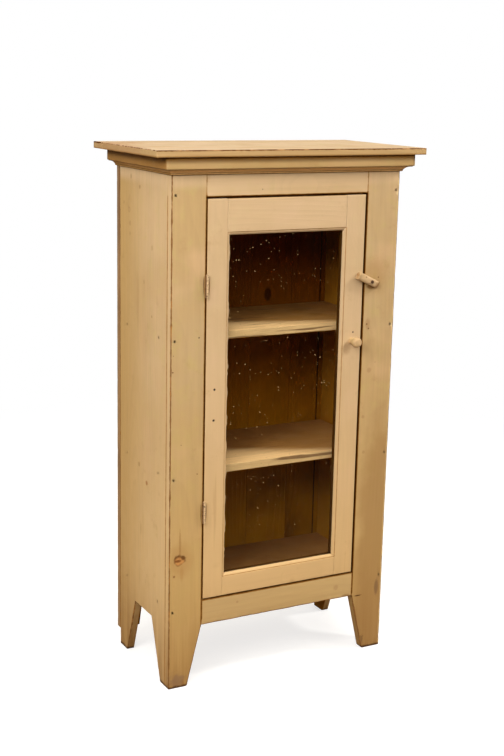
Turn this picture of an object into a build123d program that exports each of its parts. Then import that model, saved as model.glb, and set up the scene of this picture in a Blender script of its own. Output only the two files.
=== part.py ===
"""Free-standing glazed display cupboard in painted pine: one door, two shelves, bracket feet.

Millimetres. X runs to the right as the cupboard is faced, +Y to the back, +Z up. The origin is on the
floor under the middle of the top board.
"""
from build123d import *
import os

# --- case -------------------------------------------------------------------------------------------
case_w = 610.0  # across the outside of the two sides
case_h = 1282.0  # floor to the underside of the top
side_w = 279.0  # side board, front edge to back edge
side_t = 19.0
frame_t = 22.0  # face frame, and the door that lies flush in it
back_t = 19.0
foot_h = 153.5  # clear height under the bottom rail and under the side arches
left_stile_w = 87.0
right_stile_w = 91.0
left_foot_w = 50.0  # stile widths where they meet the floor
right_foot_w = 54.0
top_rail_h = 91.5
bottom_rail_h = 64.0
front_leg_top = 81.0  # the side's legs, across the grain at the arch and at the floor
front_leg_foot = 27.0
back_leg_top = 98.0
back_leg_foot = 45.0
foot_round = 5.0  # worn corner at the toe of each foot

# --- top and cornice --------------------------------------------------------------------------------
top_t = 16.0
top_over_side = 52.0
top_over_front = 34.0
top_over_back = 21.0
top_strip_w = 55.0  # narrow board that makes up the top's width at the back
board_gap = 0.5  # seam between boards laid edge to edge
cornice_out = 25.0  # projection of the fascia
cornice_h = 41.0
fascia_h = 27.5
fascia_round = 2.5
bead_out = 5.0  # small bead that ends the cornice below
bead_h = 4.0
bead_foot = 3.0  # flat under the bead
quirk = 1.5  # fine step each side of the cove
cove_sag = 1.5  # hollow of the cove, along X and along Z

# --- shelves and back -------------------------------------------------------------------------------
shelf_t = 19.0
dado = 6.0  # depth of the grooves that hold the shelves
shelf_shoulder = 6.0  # step above the tongue, so that each shelf's top ends at the sides
lower_space = 309.0  # floor board to lower shelf
middle_space = 309.0  # lower shelf to upper shelf
shelf_set_back = 0.5  # shelf fronts behind the face frame: they stop the door
back_count = 5
back_foot_gap = 42.0  # floor to the bottom of the outer back boards
back_foot_w = 54.0  # their foot, across, and its width where it meets the arch
back_foot_top = 68.0
cleat_h = 30.0
cleat_t = 19.0

# --- door -------------------------------------------------------------------------------------------
gap_hinge = 2.5  # running gaps round the door
gap_latch = 4.0
gap_top = 4.0
gap_bottom = 3.0
door_stile_w = 52.0  # to the sight line, where the moulded edge begins
door_top_rail_h = 77.0
door_bottom_rail_h = 49.0
sticking_w = 7.5  # moulded edge round the glass
sticking_d = 6.5
lip_d = 7.5  # face of the door to the glass
rabbet_w = 8.0
glass_t = 3.0
glass_play = 1.0
bead_chamfer = 3.0

# --- joinery ----------------------------------------------------------------------------------------
tenon_t = 7.0
tenon_in = 7.5  # face of the wood to the tenon
tenon_len = 32.0
tenon_shoulder = 12.0

# --- hinges -----------------------------------------------------------------------------------------
hinge_len = 52.0
upper_hinge_drop = 200.0  # top of the door to the middle of the upper hinge
lower_hinge_rise = 221.0  # bottom of the door to the middle of the lower hinge
knuckles = 5
knuckle_gap = 0.2
barrel_r = 4.0
barrel_proud = 4.2  # barrel axis in front of the door's face
pin_r = 1.5
pin_play = 0.05
pin_head_r = 2.8
pin_head_h = 1.5
leaf_t = 1.6
leaf_w = 19.0
leaf_gap = 0.3
leaf_start = 0.3  # leaf behind the barrel
screw_r = 1.6
screw_head_r = 3.2
screw_head_h = 1.3
screw_len = 14.0
screw_count = 3
screw_inset = 8.0  # from a leaf's end to its first screw
slot_w = 0.8
slot_d = 0.6

# --- knob and turn button ---------------------------------------------------------------------------
knob_z = 829.0
knob_r = 12.8
knob_out = 33.0
knob_neck_r = 7.6
knob_base_r = 9.0
knob_neck_out = 8.0  # face of the door to the neck's narrowest place
knob_shoulder_drop = 18.0  # tip to the places that shape the head
knob_shoulder_r = 10.8
knob_wide_drop = 11.0
knob_crown_drop = 2.2
knob_crown_r = 10.4
knob_tenon_r = 5.0
knob_tenon_len = 15.0
button_z = 975.0
button_in = 14.0  # pivot from the opening's edge
button_long = 40.0  # pivot to the end that holds the door
button_short = 26.0
button_big_r = 9.5
button_small_r = 6.5
button_t = 14.0
button_round = 5.0
button_tilt = 25.0  # the long end stands above the pivot
button_off = 0.5  # button clear of the face it turns over
button_screw_r = 2.2
button_screw_play = 0.08
button_screw_len = 18.0
button_head_r = 4.2
button_head_h = 2.2
button_head_round = 1.3

# --- nails ------------------------------------------------------------------------------------------
nail_w = 3.0
nail_head_w = 6.0
nail_head_t = 1.2
nail_ratio = 0.7  # a cut nail's thickness to its width, in shank and head
brad_w = 1.6
brad_head_w = 2.6
long_nail = 50.0
short_nail = 38.0
brad = 34.0
nail_inset = 45.0  # from a board's end to its first nail
edge_inset = 24.0  # from a back board's edge to its nails
top_nail_count = 3  # into each side, and into the rail
stile_nail_count = 4
front_brad_count = 4
side_brad_count = 3

# --- cutting and searching --------------------------------------------------------------------------
spare = 1.0  # cutting shapes run this far past what they cut
near = 0.01  # reach of a search for an edge

# --- places that follow -----------------------------------------------------------------------------
depth = frame_t + side_w + back_t
front = -(top_over_front + depth + top_over_back) / 2 + top_over_front
side_front = front + frame_t
side_back = side_front + side_w
back = side_back + back_t
left = -case_w / 2
right = case_w / 2
inner_left = left + side_t
inner_right = right - side_t
open_left = left + left_stile_w
open_right = right - right_stile_w
open_bottom = foot_h + bottom_rail_h
open_top = case_h - top_rail_h
floor_top = open_bottom
lower_shelf_z = floor_top + lower_space
upper_shelf_z = lower_shelf_z + shelf_t + middle_space
top_z = case_h + top_t
top_left = left - top_over_side
top_right = right + top_over_side
top_front = front - top_over_front
top_back = back + top_over_back
strip_front = top_back - top_strip_w
board_pitch = case_w / back_count

door_left = open_left + gap_hinge
door_right = open_right - gap_latch
door_bottom = open_bottom + gap_bottom
door_top = open_top - gap_top
sight_left = door_left + door_stile_w
sight_right = door_right - door_stile_w
sight_bottom = door_bottom + door_bottom_rail_h
sight_top = door_top - door_top_rail_h
rabbet_left = sight_left + sticking_w - rabbet_w
rabbet_right = sight_right - sticking_w + rabbet_w
rabbet_bottom = sight_bottom + sticking_w - rabbet_w
rabbet_top = sight_top - sticking_w + rabbet_w
glass_front = front + lip_d
glass_back = glass_front + glass_t

pivot_x = open_left + gap_hinge / 2
pivot_y = front - barrel_proud
upper_hinge_z = door_top - upper_hinge_drop
lower_hinge_z = door_bottom + lower_hinge_rise
button_x = open_right + button_in
knob_x = (sight_right + door_right) / 2


# --- shapes -----------------------------------------------------------------------------------------
def block(x0, x1, y0, y1, z0, z1):
    """Straight board between two corners."""
    return Pos((x0 + x1) / 2, (y0 + y1) / 2, (z0 + z1) / 2) * Box(x1 - x0, y1 - y0, z1 - z0)


def upright_xz(points, y0, y1):
    """Outline in X and Z, as thick as the board runs in Y."""
    face = Plane.XZ.offset(-y0) * make_face(Polyline(*points, close=True))
    return extrude(face, -(y1 - y0))


def upright_yz(points, x0, x1):
    """Outline in Y and Z, as thick as the board runs in X."""
    face = Plane.YZ.offset(x0) * make_face(Polyline(*points, close=True))
    return extrude(face, x1 - x0)


def flat_xy(points, z0, z1):
    """Outline in X and Y, as thick as the board runs in Z."""
    face = Plane.XY.offset(z0) * make_face(Polyline(*points, close=True))
    return extrude(face, z1 - z0)


def rounded_toe(board, axis, low, high):
    """Rounds the floor edges of a foot that lie between two places along an axis."""
    toes = board.edges().filter_by_position(Axis.Z, -near, near)
    toes = toes.filter_by_position(axis, low, high)
    return fillet(toes, foot_round)


def spread(count, low, high):
    """Even places from low to high, both included."""
    return [low + (high - low) * i / (count - 1) for i in range(count)]


def nail(point, direction, length, w=nail_w, head_w=nail_head_w):
    """Cut nail with its head flush at point, driven along direction."""
    head = Pos(0, 0, nail_head_t / 2) * Box(head_w, head_w * nail_ratio, nail_head_t)
    shank = Pos(0, 0, length / 2) * Box(w, w * nail_ratio, length)
    grain = (1, 0, 0) if direction[2] else (0, 0, 1)
    return Plane(origin=point, x_dir=grain, z_dir=direction) * (head + shank)


def mortise_and_tenon(rail_x0, rail_x1, z0, z1, face_y):
    """Two tenons that run out of a rail's ends, with square shoulders above and below."""
    y0 = face_y + tenon_in
    z_low = z0 + tenon_shoulder
    z_high = z1 - tenon_shoulder
    left_tenon = block(rail_x0 - tenon_len, rail_x0, y0, y0 + tenon_t, z_low, z_high)
    right_tenon = block(rail_x1, rail_x1 + tenon_len, y0, y0 + tenon_t, z_low, z_high)
    return left_tenon, right_tenon


# --- face frame -------------------------------------------------------------------------------------
def face_stile(outer, inner, toe):
    """Stile that tapers to its foot below the bottom rail."""
    outline = [(outer, 0), (toe, 0), (inner, foot_h), (inner, case_h), (outer, case_h)]
    board = upright_xz(outline, front, side_front)
    return rounded_toe(board, Axis.X, toe - near, toe + near)


left_stile = face_stile(left, open_left, left + left_foot_w)
right_stile = face_stile(right, open_right, right - right_foot_w)
top_tenons = mortise_and_tenon(open_left, open_right, open_top, case_h, front)
bottom_tenons = mortise_and_tenon(open_left, open_right, foot_h, open_bottom, front)
top_rail = block(open_left, open_right, front, side_front, open_top, case_h) + list(top_tenons)
bottom_rail = block(open_left, open_right, front, side_front, foot_h, open_bottom) + list(bottom_tenons)
left_stile = left_stile - (top_tenons[0], bottom_tenons[0])
right_stile = right_stile - (top_tenons[1], bottom_tenons[1])


# --- sides, floor and shelves -----------------------------------------------------------------------
def side_board(x0, x1):
    """Side with an arch cut between its two legs."""
    toe_front = side_front + front_leg_foot
    toe_back = side_back - back_leg_foot
    outline = [
        (side_front, 0),
        (toe_front, 0),
        (side_front + front_leg_top, foot_h),
        (side_back - back_leg_top, foot_h),
        (toe_back, 0),
        (side_back, 0),
        (side_back, case_h),
        (side_front, case_h),
    ]
    board = upright_yz(outline, x0, x1)
    board = rounded_toe(board, Axis.Y, toe_front - near, toe_front + near)
    return rounded_toe(board, Axis.Y, toe_back - near, toe_back + near)


def tongues(z_bottom, y_front):
    """What a shelf has in the two grooves: its lower part, full length."""
    z_top = z_bottom + shelf_t - shelf_shoulder
    return block(inner_left - dado, inner_right + dado, y_front, side_back, z_bottom, z_top)


def shelf_board(z_bottom, y_front):
    """Board between the sides, let into them by a tongue at each end."""
    board = block(inner_left, inner_right, y_front, side_back, z_bottom, z_bottom + shelf_t)
    return board + tongues(z_bottom, y_front)


case_floor = shelf_board(floor_top - shelf_t, side_front)
lower_shelf = shelf_board(lower_shelf_z, side_front + shelf_set_back)
upper_shelf = shelf_board(upper_shelf_z, side_front + shelf_set_back)
top_back_cleat = block(inner_left, inner_right, side_back - cleat_t, side_back, case_h - cleat_h, case_h)
grooves = [tongues(z, side_front) for z in (floor_top - shelf_t, lower_shelf_z, upper_shelf_z)]
left_side = side_board(left, inner_left) - grooves
right_side = side_board(inner_right, right) - grooves


# --- back -------------------------------------------------------------------------------------------
def back_board(index):
    """One upright back board; the outer two run down as feet."""
    x0 = left + board_pitch * index + (board_gap / 2 if index > 0 else 0)
    x1 = left + board_pitch * (index + 1) - (board_gap / 2 if index < back_count - 1 else 0)
    if index not in (0, back_count - 1):
        return block(x0, x1, side_back, back, foot_h, case_h)
    foot = [(0, back_foot_gap), (back_foot_w, back_foot_gap), (back_foot_top, foot_h)]
    outline = foot + [(x1 - x0, foot_h), (x1 - x0, case_h), (0, case_h)]
    if index == 0:
        return upright_xz([(left + x, z) for x, z in outline], side_back, back)
    return upright_xz([(right - x, z) for x, z in outline], side_back, back)


back_boards = [back_board(index) for index in range(back_count)]

# --- top and cornice --------------------------------------------------------------------------------
top_board = block(top_left, top_right, top_front, strip_front - board_gap, case_h, top_z)
top_back_strip = block(top_left, top_right, strip_front, top_back, case_h, top_z)


def cornice_profile():
    """Half section, outwards and up from the lower edge on the case: bead, cove, rounded fascia."""
    low = case_h - cornice_h
    bead_top = low + bead_h
    fascia_low = case_h - fascia_h
    cove_start = (bead_out + quirk, bead_top + quirk)
    cove_end = (cornice_out - fascia_round - quirk, fascia_low - quirk)
    cove_x = (cove_start[0] + cove_end[0]) / 2 - cove_sag
    cove_z = (cove_start[1] + cove_end[1]) / 2 + cove_sag
    corner_start = (cornice_out - fascia_round, fascia_low)
    corner_end = (cornice_out, fascia_low + fascia_round)
    bead = TangentArc((bead_foot, low), (bead_out, bead_top), tangent=(1, 0))
    step = Polyline((bead_out, bead_top), cove_start)
    cove = ThreePointArc(cove_start, (cove_x, cove_z), cove_end)
    step_up = Polyline(cove_end, corner_start)
    corner = TangentArc(corner_start, corner_end, tangent=(1, 0))
    rest = Polyline(corner_end, (cornice_out, case_h), (0, case_h), (0, low), (bead_foot, low))
    return make_face([bead, step, cove, step_up, corner, rest])


profile = cornice_profile()
out = cornice_out + spare
front_run = Plane(origin=(right + out, front, 0), x_dir=(0, -1, 0), z_dir=(-1, 0, 0)) * profile
left_run = Plane(origin=(left, front - out, 0), x_dir=(-1, 0, 0), z_dir=(0, 1, 0)) * profile
right_run = Plane(origin=(right, back, 0), x_dir=(1, 0, 0), z_dir=(0, -1, 0)) * profile
front_mitre = [(left, front), (right, front), (right + out, front - out), (left - out, front - out)]
left_mitre = [(left, front), (left - out, front - out), (left - out, back), (left, back)]
right_mitre = [(right, front), (right + out, front - out), (right + out, back), (right, back)]
low_z = case_h - cornice_h - spare
cornice_front = extrude(front_run, case_w + 2 * out) & flat_xy(front_mitre, low_z, case_h)
cornice_left = extrude(left_run, depth + out) & flat_xy(left_mitre, low_z, case_h)
cornice_right = extrude(right_run, depth + out) & flat_xy(right_mitre, low_z, case_h)


# --- door -------------------------------------------------------------------------------------------
def door_ring():
    """Whole door frame: sloped sticking in front, rabbet behind."""
    ring = block(door_left, door_right, front, side_front, door_bottom, door_top)
    sight = Rectangle(sight_right - sight_left, sight_top - sight_bottom)
    inner = Rectangle(sight_right - sight_left - 2 * sticking_w, sight_top - sight_bottom - 2 * sticking_w)
    middle = ((sight_left + sight_right) / 2, (sight_bottom + sight_top) / 2)
    face = Plane(origin=(middle[0], front, middle[1]), x_dir=(1, 0, 0), z_dir=(0, 1, 0))
    funnel = loft([face * sight, face.offset(sticking_d) * inner])
    throat = extrude(face * inner, frame_t)
    rabbet = block(rabbet_left, rabbet_right, glass_front, side_front, rabbet_bottom, rabbet_top)
    return ring - funnel - throat - rabbet


def stile_zone(edge, sight, inward):
    """Outline of a door stile: straight at the sight line, mitred along the moulded edge."""
    reach = inward * (sticking_w + spare)
    lift = abs(reach)
    return [
        (edge, door_bottom),
        (sight, door_bottom),
        (sight, sight_bottom),
        (sight + reach, sight_bottom + lift),
        (sight + reach, sight_top - lift),
        (sight, sight_top),
        (sight, door_top),
        (edge, door_top),
    ]


ring = door_ring()
hinge_zone = upright_xz(stile_zone(door_left, sight_left, 1), front, side_front)
latch_zone = upright_xz(stile_zone(door_right, sight_right, -1), front, side_front)
middle_z = (sight_bottom + sight_top) / 2
rail_zone = block(door_left, door_right, front, side_front, middle_z, door_top)
door_hinge_stile = ring & hinge_zone
door_latch_stile = ring & latch_zone
rails = ring - hinge_zone - latch_zone
upper_tenons = mortise_and_tenon(sight_left, sight_right, sight_top, door_top, front)
lower_tenons = mortise_and_tenon(sight_left, sight_right, door_bottom, sight_bottom, front)
door_top_rail = (rails & rail_zone) + list(upper_tenons)
door_bottom_rail = (rails - rail_zone) + list(lower_tenons)
door_hinge_stile = door_hinge_stile - (upper_tenons[0], lower_tenons[0])
door_latch_stile = door_latch_stile - (upper_tenons[1], lower_tenons[1])

glass_pane = block(
    rabbet_left + glass_play,
    rabbet_right - glass_play,
    glass_front,
    glass_back,
    rabbet_bottom + glass_play,
    rabbet_top - glass_play,
)


def glazing_bead(x0, x1, z0, z1, axis, inner_edge):
    """Square bead in the rabbet, with its inner back corner taken off."""
    strip = block(x0, x1, glass_back, side_front, z0, z1)
    arris = strip.edges().filter_by_position(Axis.Y, side_front - near, side_front + near)
    return chamfer(arris.filter_by_position(axis, inner_edge - near, inner_edge + near), bead_chamfer)


bead_left_in = rabbet_left + rabbet_w
bead_right_in = rabbet_right - rabbet_w
bead_low_in = rabbet_bottom + rabbet_w
bead_high_in = rabbet_top - rabbet_w
bead_across = (bead_left_in, bead_right_in)
bead_up = (rabbet_bottom, rabbet_top)
glazing_bead_left = glazing_bead(rabbet_left, bead_left_in, *bead_up, Axis.X, bead_left_in)
glazing_bead_right = glazing_bead(bead_right_in, rabbet_right, *bead_up, Axis.X, bead_right_in)
glazing_bead_bottom = glazing_bead(*bead_across, rabbet_bottom, bead_low_in, Axis.Z, bead_low_in)
glazing_bead_top = glazing_bead(*bead_across, bead_high_in, rabbet_top, Axis.Z, bead_high_in)


# --- hinges -----------------------------------------------------------------------------------------
def hinge_leaf(z_middle, side, own):
    """Leaf on one side of the pin, with the knuckles that belong to it."""
    pitch = (hinge_len + knuckle_gap) / knuckles
    z_low = z_middle - hinge_len / 2
    x_in = pivot_x + side * leaf_gap / 2
    x_out = x_in + side * leaf_t
    plate_front = pivot_y + barrel_r + leaf_start
    x_span = (min(x_in, x_out), max(x_in, x_out))
    leaf = block(*x_span, plate_front, plate_front + leaf_w, z_low, z_low + hinge_len)
    for index in range(knuckles):
        if index % 2 != own:
            continue
        z0 = z_low + pitch * index
        z1 = z0 + pitch - knuckle_gap
        leaf += Pos(pivot_x, pivot_y, (z0 + z1) / 2) * Cylinder(barrel_r, z1 - z0)
        leaf += block(*x_span, pivot_y + pin_r, plate_front, z0, z1)
    return leaf - Pos(pivot_x, pivot_y, z_middle) * Cylinder(pin_r + pin_play, hinge_len + 2 * spare)


def hinge_pin(z_middle):
    """Loose pin with a flat head that hangs on the top knuckle."""
    top = z_middle + hinge_len / 2
    stem = Pos(pivot_x, pivot_y, z_middle) * Cylinder(pin_r, hinge_len)
    return stem + Pos(pivot_x, pivot_y, top + pin_head_h / 2) * Cylinder(pin_head_r, pin_head_h)


def leaf_screws(z_middle, side):
    """Countersunk screws through a leaf, as bodies with a slot and as plain cutters."""
    face_x = pivot_x + side * leaf_gap / 2
    y = pivot_y + barrel_r + leaf_start + leaf_w / 2
    bodies = []
    cutters = []
    reach = hinge_len / 2 - screw_inset
    for z in spread(screw_count, z_middle - reach, z_middle + reach):
        seat = Plane(origin=(face_x, y, z), x_dir=(0, 1, 0), z_dir=(side, 0, 0))
        head = Pos(0, 0, screw_head_h / 2) * Cone(screw_head_r, screw_r, screw_head_h)
        shank = Pos(0, 0, screw_len / 2) * Cylinder(screw_r, screw_len)
        cutters.append(seat * (head + shank))
        bodies.append(seat * (head + shank - Pos(0, 0, slot_d / 2) * Box(2 * screw_head_r, slot_w, slot_d)))
    return bodies, cutters


def leaf_recess(z_middle, side, wood_edge):
    """Shallow bed for a leaf in the edge of the wood."""
    x_out = pivot_x + side * (leaf_gap / 2 + leaf_t)
    leaf_back = pivot_y + barrel_r + leaf_start + leaf_w
    z0 = z_middle - hinge_len / 2
    return block(min(wood_edge, x_out), max(wood_edge, x_out), front, leaf_back, z0, z0 + hinge_len)


hinges = {}
frame_screws = []
door_screws = []
for hinge_name, hinge_z in (("upper", upper_hinge_z), ("lower", lower_hinge_z)):
    frame_leaf = hinge_leaf(hinge_z, -1, 0)
    door_leaf = hinge_leaf(hinge_z, 1, 1)
    bodies, cutters = leaf_screws(hinge_z, -1)
    frame_screws += bodies
    left_stile = left_stile - [leaf_recess(hinge_z, -1, open_left), *cutters]
    frame_leaf = frame_leaf - cutters
    bodies, cutters = leaf_screws(hinge_z, 1)
    door_screws += bodies
    door_hinge_stile = door_hinge_stile - [leaf_recess(hinge_z, 1, door_left), *cutters]
    door_leaf = door_leaf - cutters
    hinges[hinge_name + "_hinge_frame_leaf"] = frame_leaf
    hinges[hinge_name + "_hinge_door_leaf"] = door_leaf
    hinges[hinge_name + "_hinge_pin"] = hinge_pin(hinge_z)


# --- knob and turn button ---------------------------------------------------------------------------
def turned_knob():
    """Turned head on a waisted neck, with a round tenon into the door."""
    foot = (knob_base_r, 0)
    tip = (0, knob_out)
    tenon = (knob_tenon_r, -knob_tenon_len)
    stem = Polyline((0, -knob_tenon_len), tenon, (knob_tenon_r, 0), foot)
    head = Spline(
        foot,
        (knob_neck_r, knob_neck_out),
        (knob_shoulder_r, knob_out - knob_shoulder_drop),
        (knob_r, knob_out - knob_wide_drop),
        (knob_crown_r, knob_out - knob_crown_drop),
        tip,
        tangents=((-0.5, 1), (-1, 0)),
    )
    middle_line = Polyline(tip, (0, -knob_tenon_len))
    turned = revolve(Plane.XY * make_face([stem, head, middle_line]), Axis.Y)
    return Pos(knob_x, front, knob_z) * Rot(X=180) * turned


def turn_button():
    """Whittled button, thick at the end that holds the door, drilled for its screw."""
    big = Pos(-(button_long - button_big_r), 0) * Circle(button_big_r)
    small = Pos(button_short - button_small_r, 0) * Circle(button_small_r)
    outline = make_hull(big.edges() + small.edges())
    body = extrude(Plane.XZ * outline, button_t)
    front_edges = body.edges().filter_by_position(Axis.Y, -button_t - near, -button_t + near)
    body = fillet(front_edges, button_round)
    hole = Rot(X=90) * Cylinder(button_screw_r + button_screw_play, 2 * (button_t + spare))
    body = Rot(Y=button_tilt) * (body - hole)
    return Pos(button_x, front - button_off, button_z) * body


def round_head_screw():
    """Round-headed screw that the button turns on: head, slot and shank into the stile."""
    head_y = -(button_off + button_t + button_screw_play)
    shank_len = button_screw_len - head_y
    shank = Pos(0, head_y + shank_len / 2, 0) * Rot(X=90) * Cylinder(button_screw_r, shank_len)
    head = Pos(0, head_y - button_head_h / 2, 0) * Rot(X=90) * Cylinder(button_head_r, button_head_h)
    top_y = head_y - button_head_h
    rim = head.edges().filter_by_position(Axis.Y, top_y - near, top_y + near)
    head = fillet(rim, button_head_round)
    slot = Pos(0, top_y, 0) * Box(slot_w, 2 * slot_d, 2 * button_head_r)
    return Pos(button_x, front, button_z) * (head + shank - slot)


knob = turned_knob()
button = turn_button()
button_screw = round_head_screw()
door_latch_stile = door_latch_stile - knob
right_stile = right_stile - button_screw

# --- nails ------------------------------------------------------------------------------------------
down = (0, 0, -1)
to_back = (0, 1, 0)
to_front = (0, -1, 0)
to_right = (1, 0, 0)
to_left = (-1, 0, 0)
left_middle = (left + inner_left) / 2
right_middle = (right + inner_right) / 2

end_y = spread(top_nail_count, side_front + nail_inset, strip_front - nail_inset)
rail_x = spread(top_nail_count, open_left + nail_inset, open_right - nail_inset)
rail_y = front + frame_t / 2
strip_y = side_back - cleat_t / 2
left_top_nails = [nail((left_middle, y, top_z), down, long_nail) for y in end_y]
right_top_nails = [nail((right_middle, y, top_z), down, long_nail) for y in end_y]
rail_nails = [nail((x, rail_y, top_z), down, long_nail) for x in rail_x]
strip_nails = [nail((x, strip_y, top_z), down, short_nail) for x in rail_x]

shelf_bottoms = (floor_top - shelf_t, lower_shelf_z, upper_shelf_z)
tongue_middles = [z + (shelf_t - shelf_shoulder) / 2 for z in shelf_bottoms]
shelf_y = (side_front + nail_inset, side_back - nail_inset)
left_nails = [nail((left, y, z), to_right, short_nail) for z in tongue_middles for y in shelf_y]
right_nails = [nail((right, y, z), to_left, short_nail) for z in tongue_middles for y in shelf_y]

stile_z = spread(stile_nail_count, foot_h + nail_inset, case_h - cornice_h - nail_inset)
frame_nails = [nail((x, front, z), to_back, long_nail) for x in (left_middle, right_middle) for z in stile_z]

back_x = [left + board_pitch * i + edge_inset for i in range(back_count)]
back_x += [left + board_pitch * (i + 1) - edge_inset for i in range(back_count)]
back_z = [z + shelf_t / 2 for z in shelf_bottoms] + [case_h - cleat_h / 2]
floor_back, lower_back, upper_back, cleat_back = [
    [nail((x, back, z), to_front, short_nail) for x in back_x] for z in back_z
]
back_nails = floor_back + lower_back + upper_back + cleat_back

fascia_z = case_h - fascia_h / 2
cornice_x = spread(front_brad_count, left + nail_inset, right - nail_inset)
cornice_y = spread(side_brad_count, front + nail_inset, back - nail_inset)
thin = (brad, brad_w, brad_head_w)
front_brads = [nail((x, front - cornice_out, fascia_z), to_back, *thin) for x in cornice_x]
left_brads = [nail((left - cornice_out, y, fascia_z), to_right, *thin) for y in cornice_y]
right_brads = [nail((right + cornice_out, y, fascia_z), to_left, *thin) for y in cornice_y]

top_nails = left_top_nails + right_top_nails + rail_nails
top_board = top_board - top_nails
top_back_strip = top_back_strip - strip_nails
top_rail = top_rail - (rail_nails + front_brads)
top_back_cleat = top_back_cleat - (strip_nails + cleat_back)
case_floor = case_floor - (left_nails + right_nails + floor_back)
lower_shelf = lower_shelf - (left_nails + right_nails + lower_back)
upper_shelf = upper_shelf - (left_nails + right_nails + upper_back)
left_side = left_side - (left_top_nails + left_nails + frame_nails + left_brads)
right_side = right_side - (right_top_nails + right_nails + frame_nails + right_brads)
left_stile = left_stile - (frame_nails + front_brads + left_brads)
right_stile = right_stile - (frame_nails + front_brads + right_brads)
cornice_front = cornice_front - front_brads
cornice_left = cornice_left - left_brads
cornice_right = cornice_right - right_brads
back_boards = [board - (back_nails + left_brads + right_brads) for board in back_boards]

# --- nodes ------------------------------------------------------------------------------------------
parts = {
    "left_side": left_side,
    "right_side": right_side,
    "left_stile": left_stile,
    "right_stile": right_stile,
    "top_rail": top_rail,
    "bottom_rail": bottom_rail,
    "top_board": top_board,
    "top_back_strip": top_back_strip,
    "cornice_front": cornice_front,
    "cornice_left": cornice_left,
    "cornice_right": cornice_right,
    "case_floor": case_floor,
    "lower_shelf": lower_shelf,
    "upper_shelf": upper_shelf,
    "top_back_cleat": top_back_cleat,
    "door_hinge_stile": door_hinge_stile,
    "door_latch_stile": door_latch_stile,
    "door_top_rail": door_top_rail,
    "door_bottom_rail": door_bottom_rail,
    "glass_pane": glass_pane,
    "glazing_bead_left": glazing_bead_left,
    "glazing_bead_right": glazing_bead_right,
    "glazing_bead_top": glazing_bead_top,
    "glazing_bead_bottom": glazing_bead_bottom,
    "hinge_frame_screws": Compound(frame_screws),
    "hinge_door_screws": Compound(door_screws),
    "knob": knob,
    "turn_button": button,
    "button_screw": button_screw,
    "top_nails": Compound(top_nails + strip_nails),
    "shelf_nails": Compound(left_nails + right_nails),
    "frame_nails": Compound(frame_nails),
    "back_nails": Compound(back_nails),
    "cornice_nails": Compound(front_brads + left_brads + right_brads),
}
parts.update(hinges)
parts.update({f"back_board_{index + 1}": board for index, board in enumerate(back_boards)})

os.makedirs("parts", exist_ok=True)
for name, shape in parts.items():
    export_step(shape, f"parts/{name}.step")
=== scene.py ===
from math import cos, pi, radians, sin

import bmesh
import bpy
import numpy as np
from mathutils import Matrix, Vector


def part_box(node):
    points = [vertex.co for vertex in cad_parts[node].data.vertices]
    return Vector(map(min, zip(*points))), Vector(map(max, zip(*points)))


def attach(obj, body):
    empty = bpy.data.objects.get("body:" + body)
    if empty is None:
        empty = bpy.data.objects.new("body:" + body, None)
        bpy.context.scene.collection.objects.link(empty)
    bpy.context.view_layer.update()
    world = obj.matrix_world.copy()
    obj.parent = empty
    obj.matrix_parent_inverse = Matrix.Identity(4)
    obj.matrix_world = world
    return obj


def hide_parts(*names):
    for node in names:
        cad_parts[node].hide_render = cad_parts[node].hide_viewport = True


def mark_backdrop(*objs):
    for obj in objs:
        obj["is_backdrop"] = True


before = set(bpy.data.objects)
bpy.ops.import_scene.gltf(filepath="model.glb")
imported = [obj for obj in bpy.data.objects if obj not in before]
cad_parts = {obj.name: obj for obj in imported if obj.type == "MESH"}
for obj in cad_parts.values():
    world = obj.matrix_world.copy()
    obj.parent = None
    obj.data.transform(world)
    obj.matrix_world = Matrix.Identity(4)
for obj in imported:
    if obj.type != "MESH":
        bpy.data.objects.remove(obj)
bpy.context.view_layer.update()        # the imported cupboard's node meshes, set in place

print("stage: frame loaded")

# Places come from the CAD nodes. All lengths are metres.
paintFilm = 0.0002      # top faces lie this far under the CAD face, so that nail heads can stand on them


def span(node):
    low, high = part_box(node)
    return np.array(low), np.array(high)


stileLow, stileHigh = span("left_stile")
rightStileLow, rightStileHigh = span("right_stile")
sideHigh = span("left_side")[1]
railLow, railHigh = span("bottom_rail")
topLow, topHigh = span("top_board")
stripLow, stripHigh = span("top_back_strip")
glassLow, glassHigh = span("glass_pane")
leafLow, leafHigh = span("lower_hinge_frame_leaf")
upperLeafLow, upperLeafHigh = span("upper_hinge_frame_leaf")
screwLow, screwHigh = span("button_screw")

front = stileLow[1]
sideFront = stileHigh[1]
sideBack = sideHigh[1]
back = span("back_board_1")[1][1]
left = stileLow[0]
right = rightStileHigh[0]
innerLeft = sideHigh[0]
innerRight = -innerLeft
shelfFront = span("upper_shelf")[0][1]
openLeft = stileHigh[0]
openRight = rightStileLow[0]
caseHigh = sideHigh[2]
footHigh = railLow[2]
openLow = railHigh[2]
openHigh = span("top_rail")[0][2]
hingeHeights = [(low[2] + high[2]) / 2 for low, high in ((upperLeafLow, upperLeafHigh), (leafLow, leafHigh))]
barrelX = round((leafLow[0] + leafHigh[0]) / 2, 5)      # middle line of the hinge barrels
fasciaTall = 0.0275     # square band at the top of the cornice


# mesh helpers

def waver(along, length, seed, period):
    # sum of six sines round a closed way: whole numbers of waves near length/period, about -1 to 1
    draw = np.random.default_rng(seed)
    middle = max(3.0, length / period)
    waves = np.round(draw.uniform(0.4, 1.8, 6) * middle)
    phase = draw.uniform(0, 2 * pi, 6)
    return np.sin(2 * pi * along[..., None] / length * waves + phase).mean(-1) * 1.8


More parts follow.
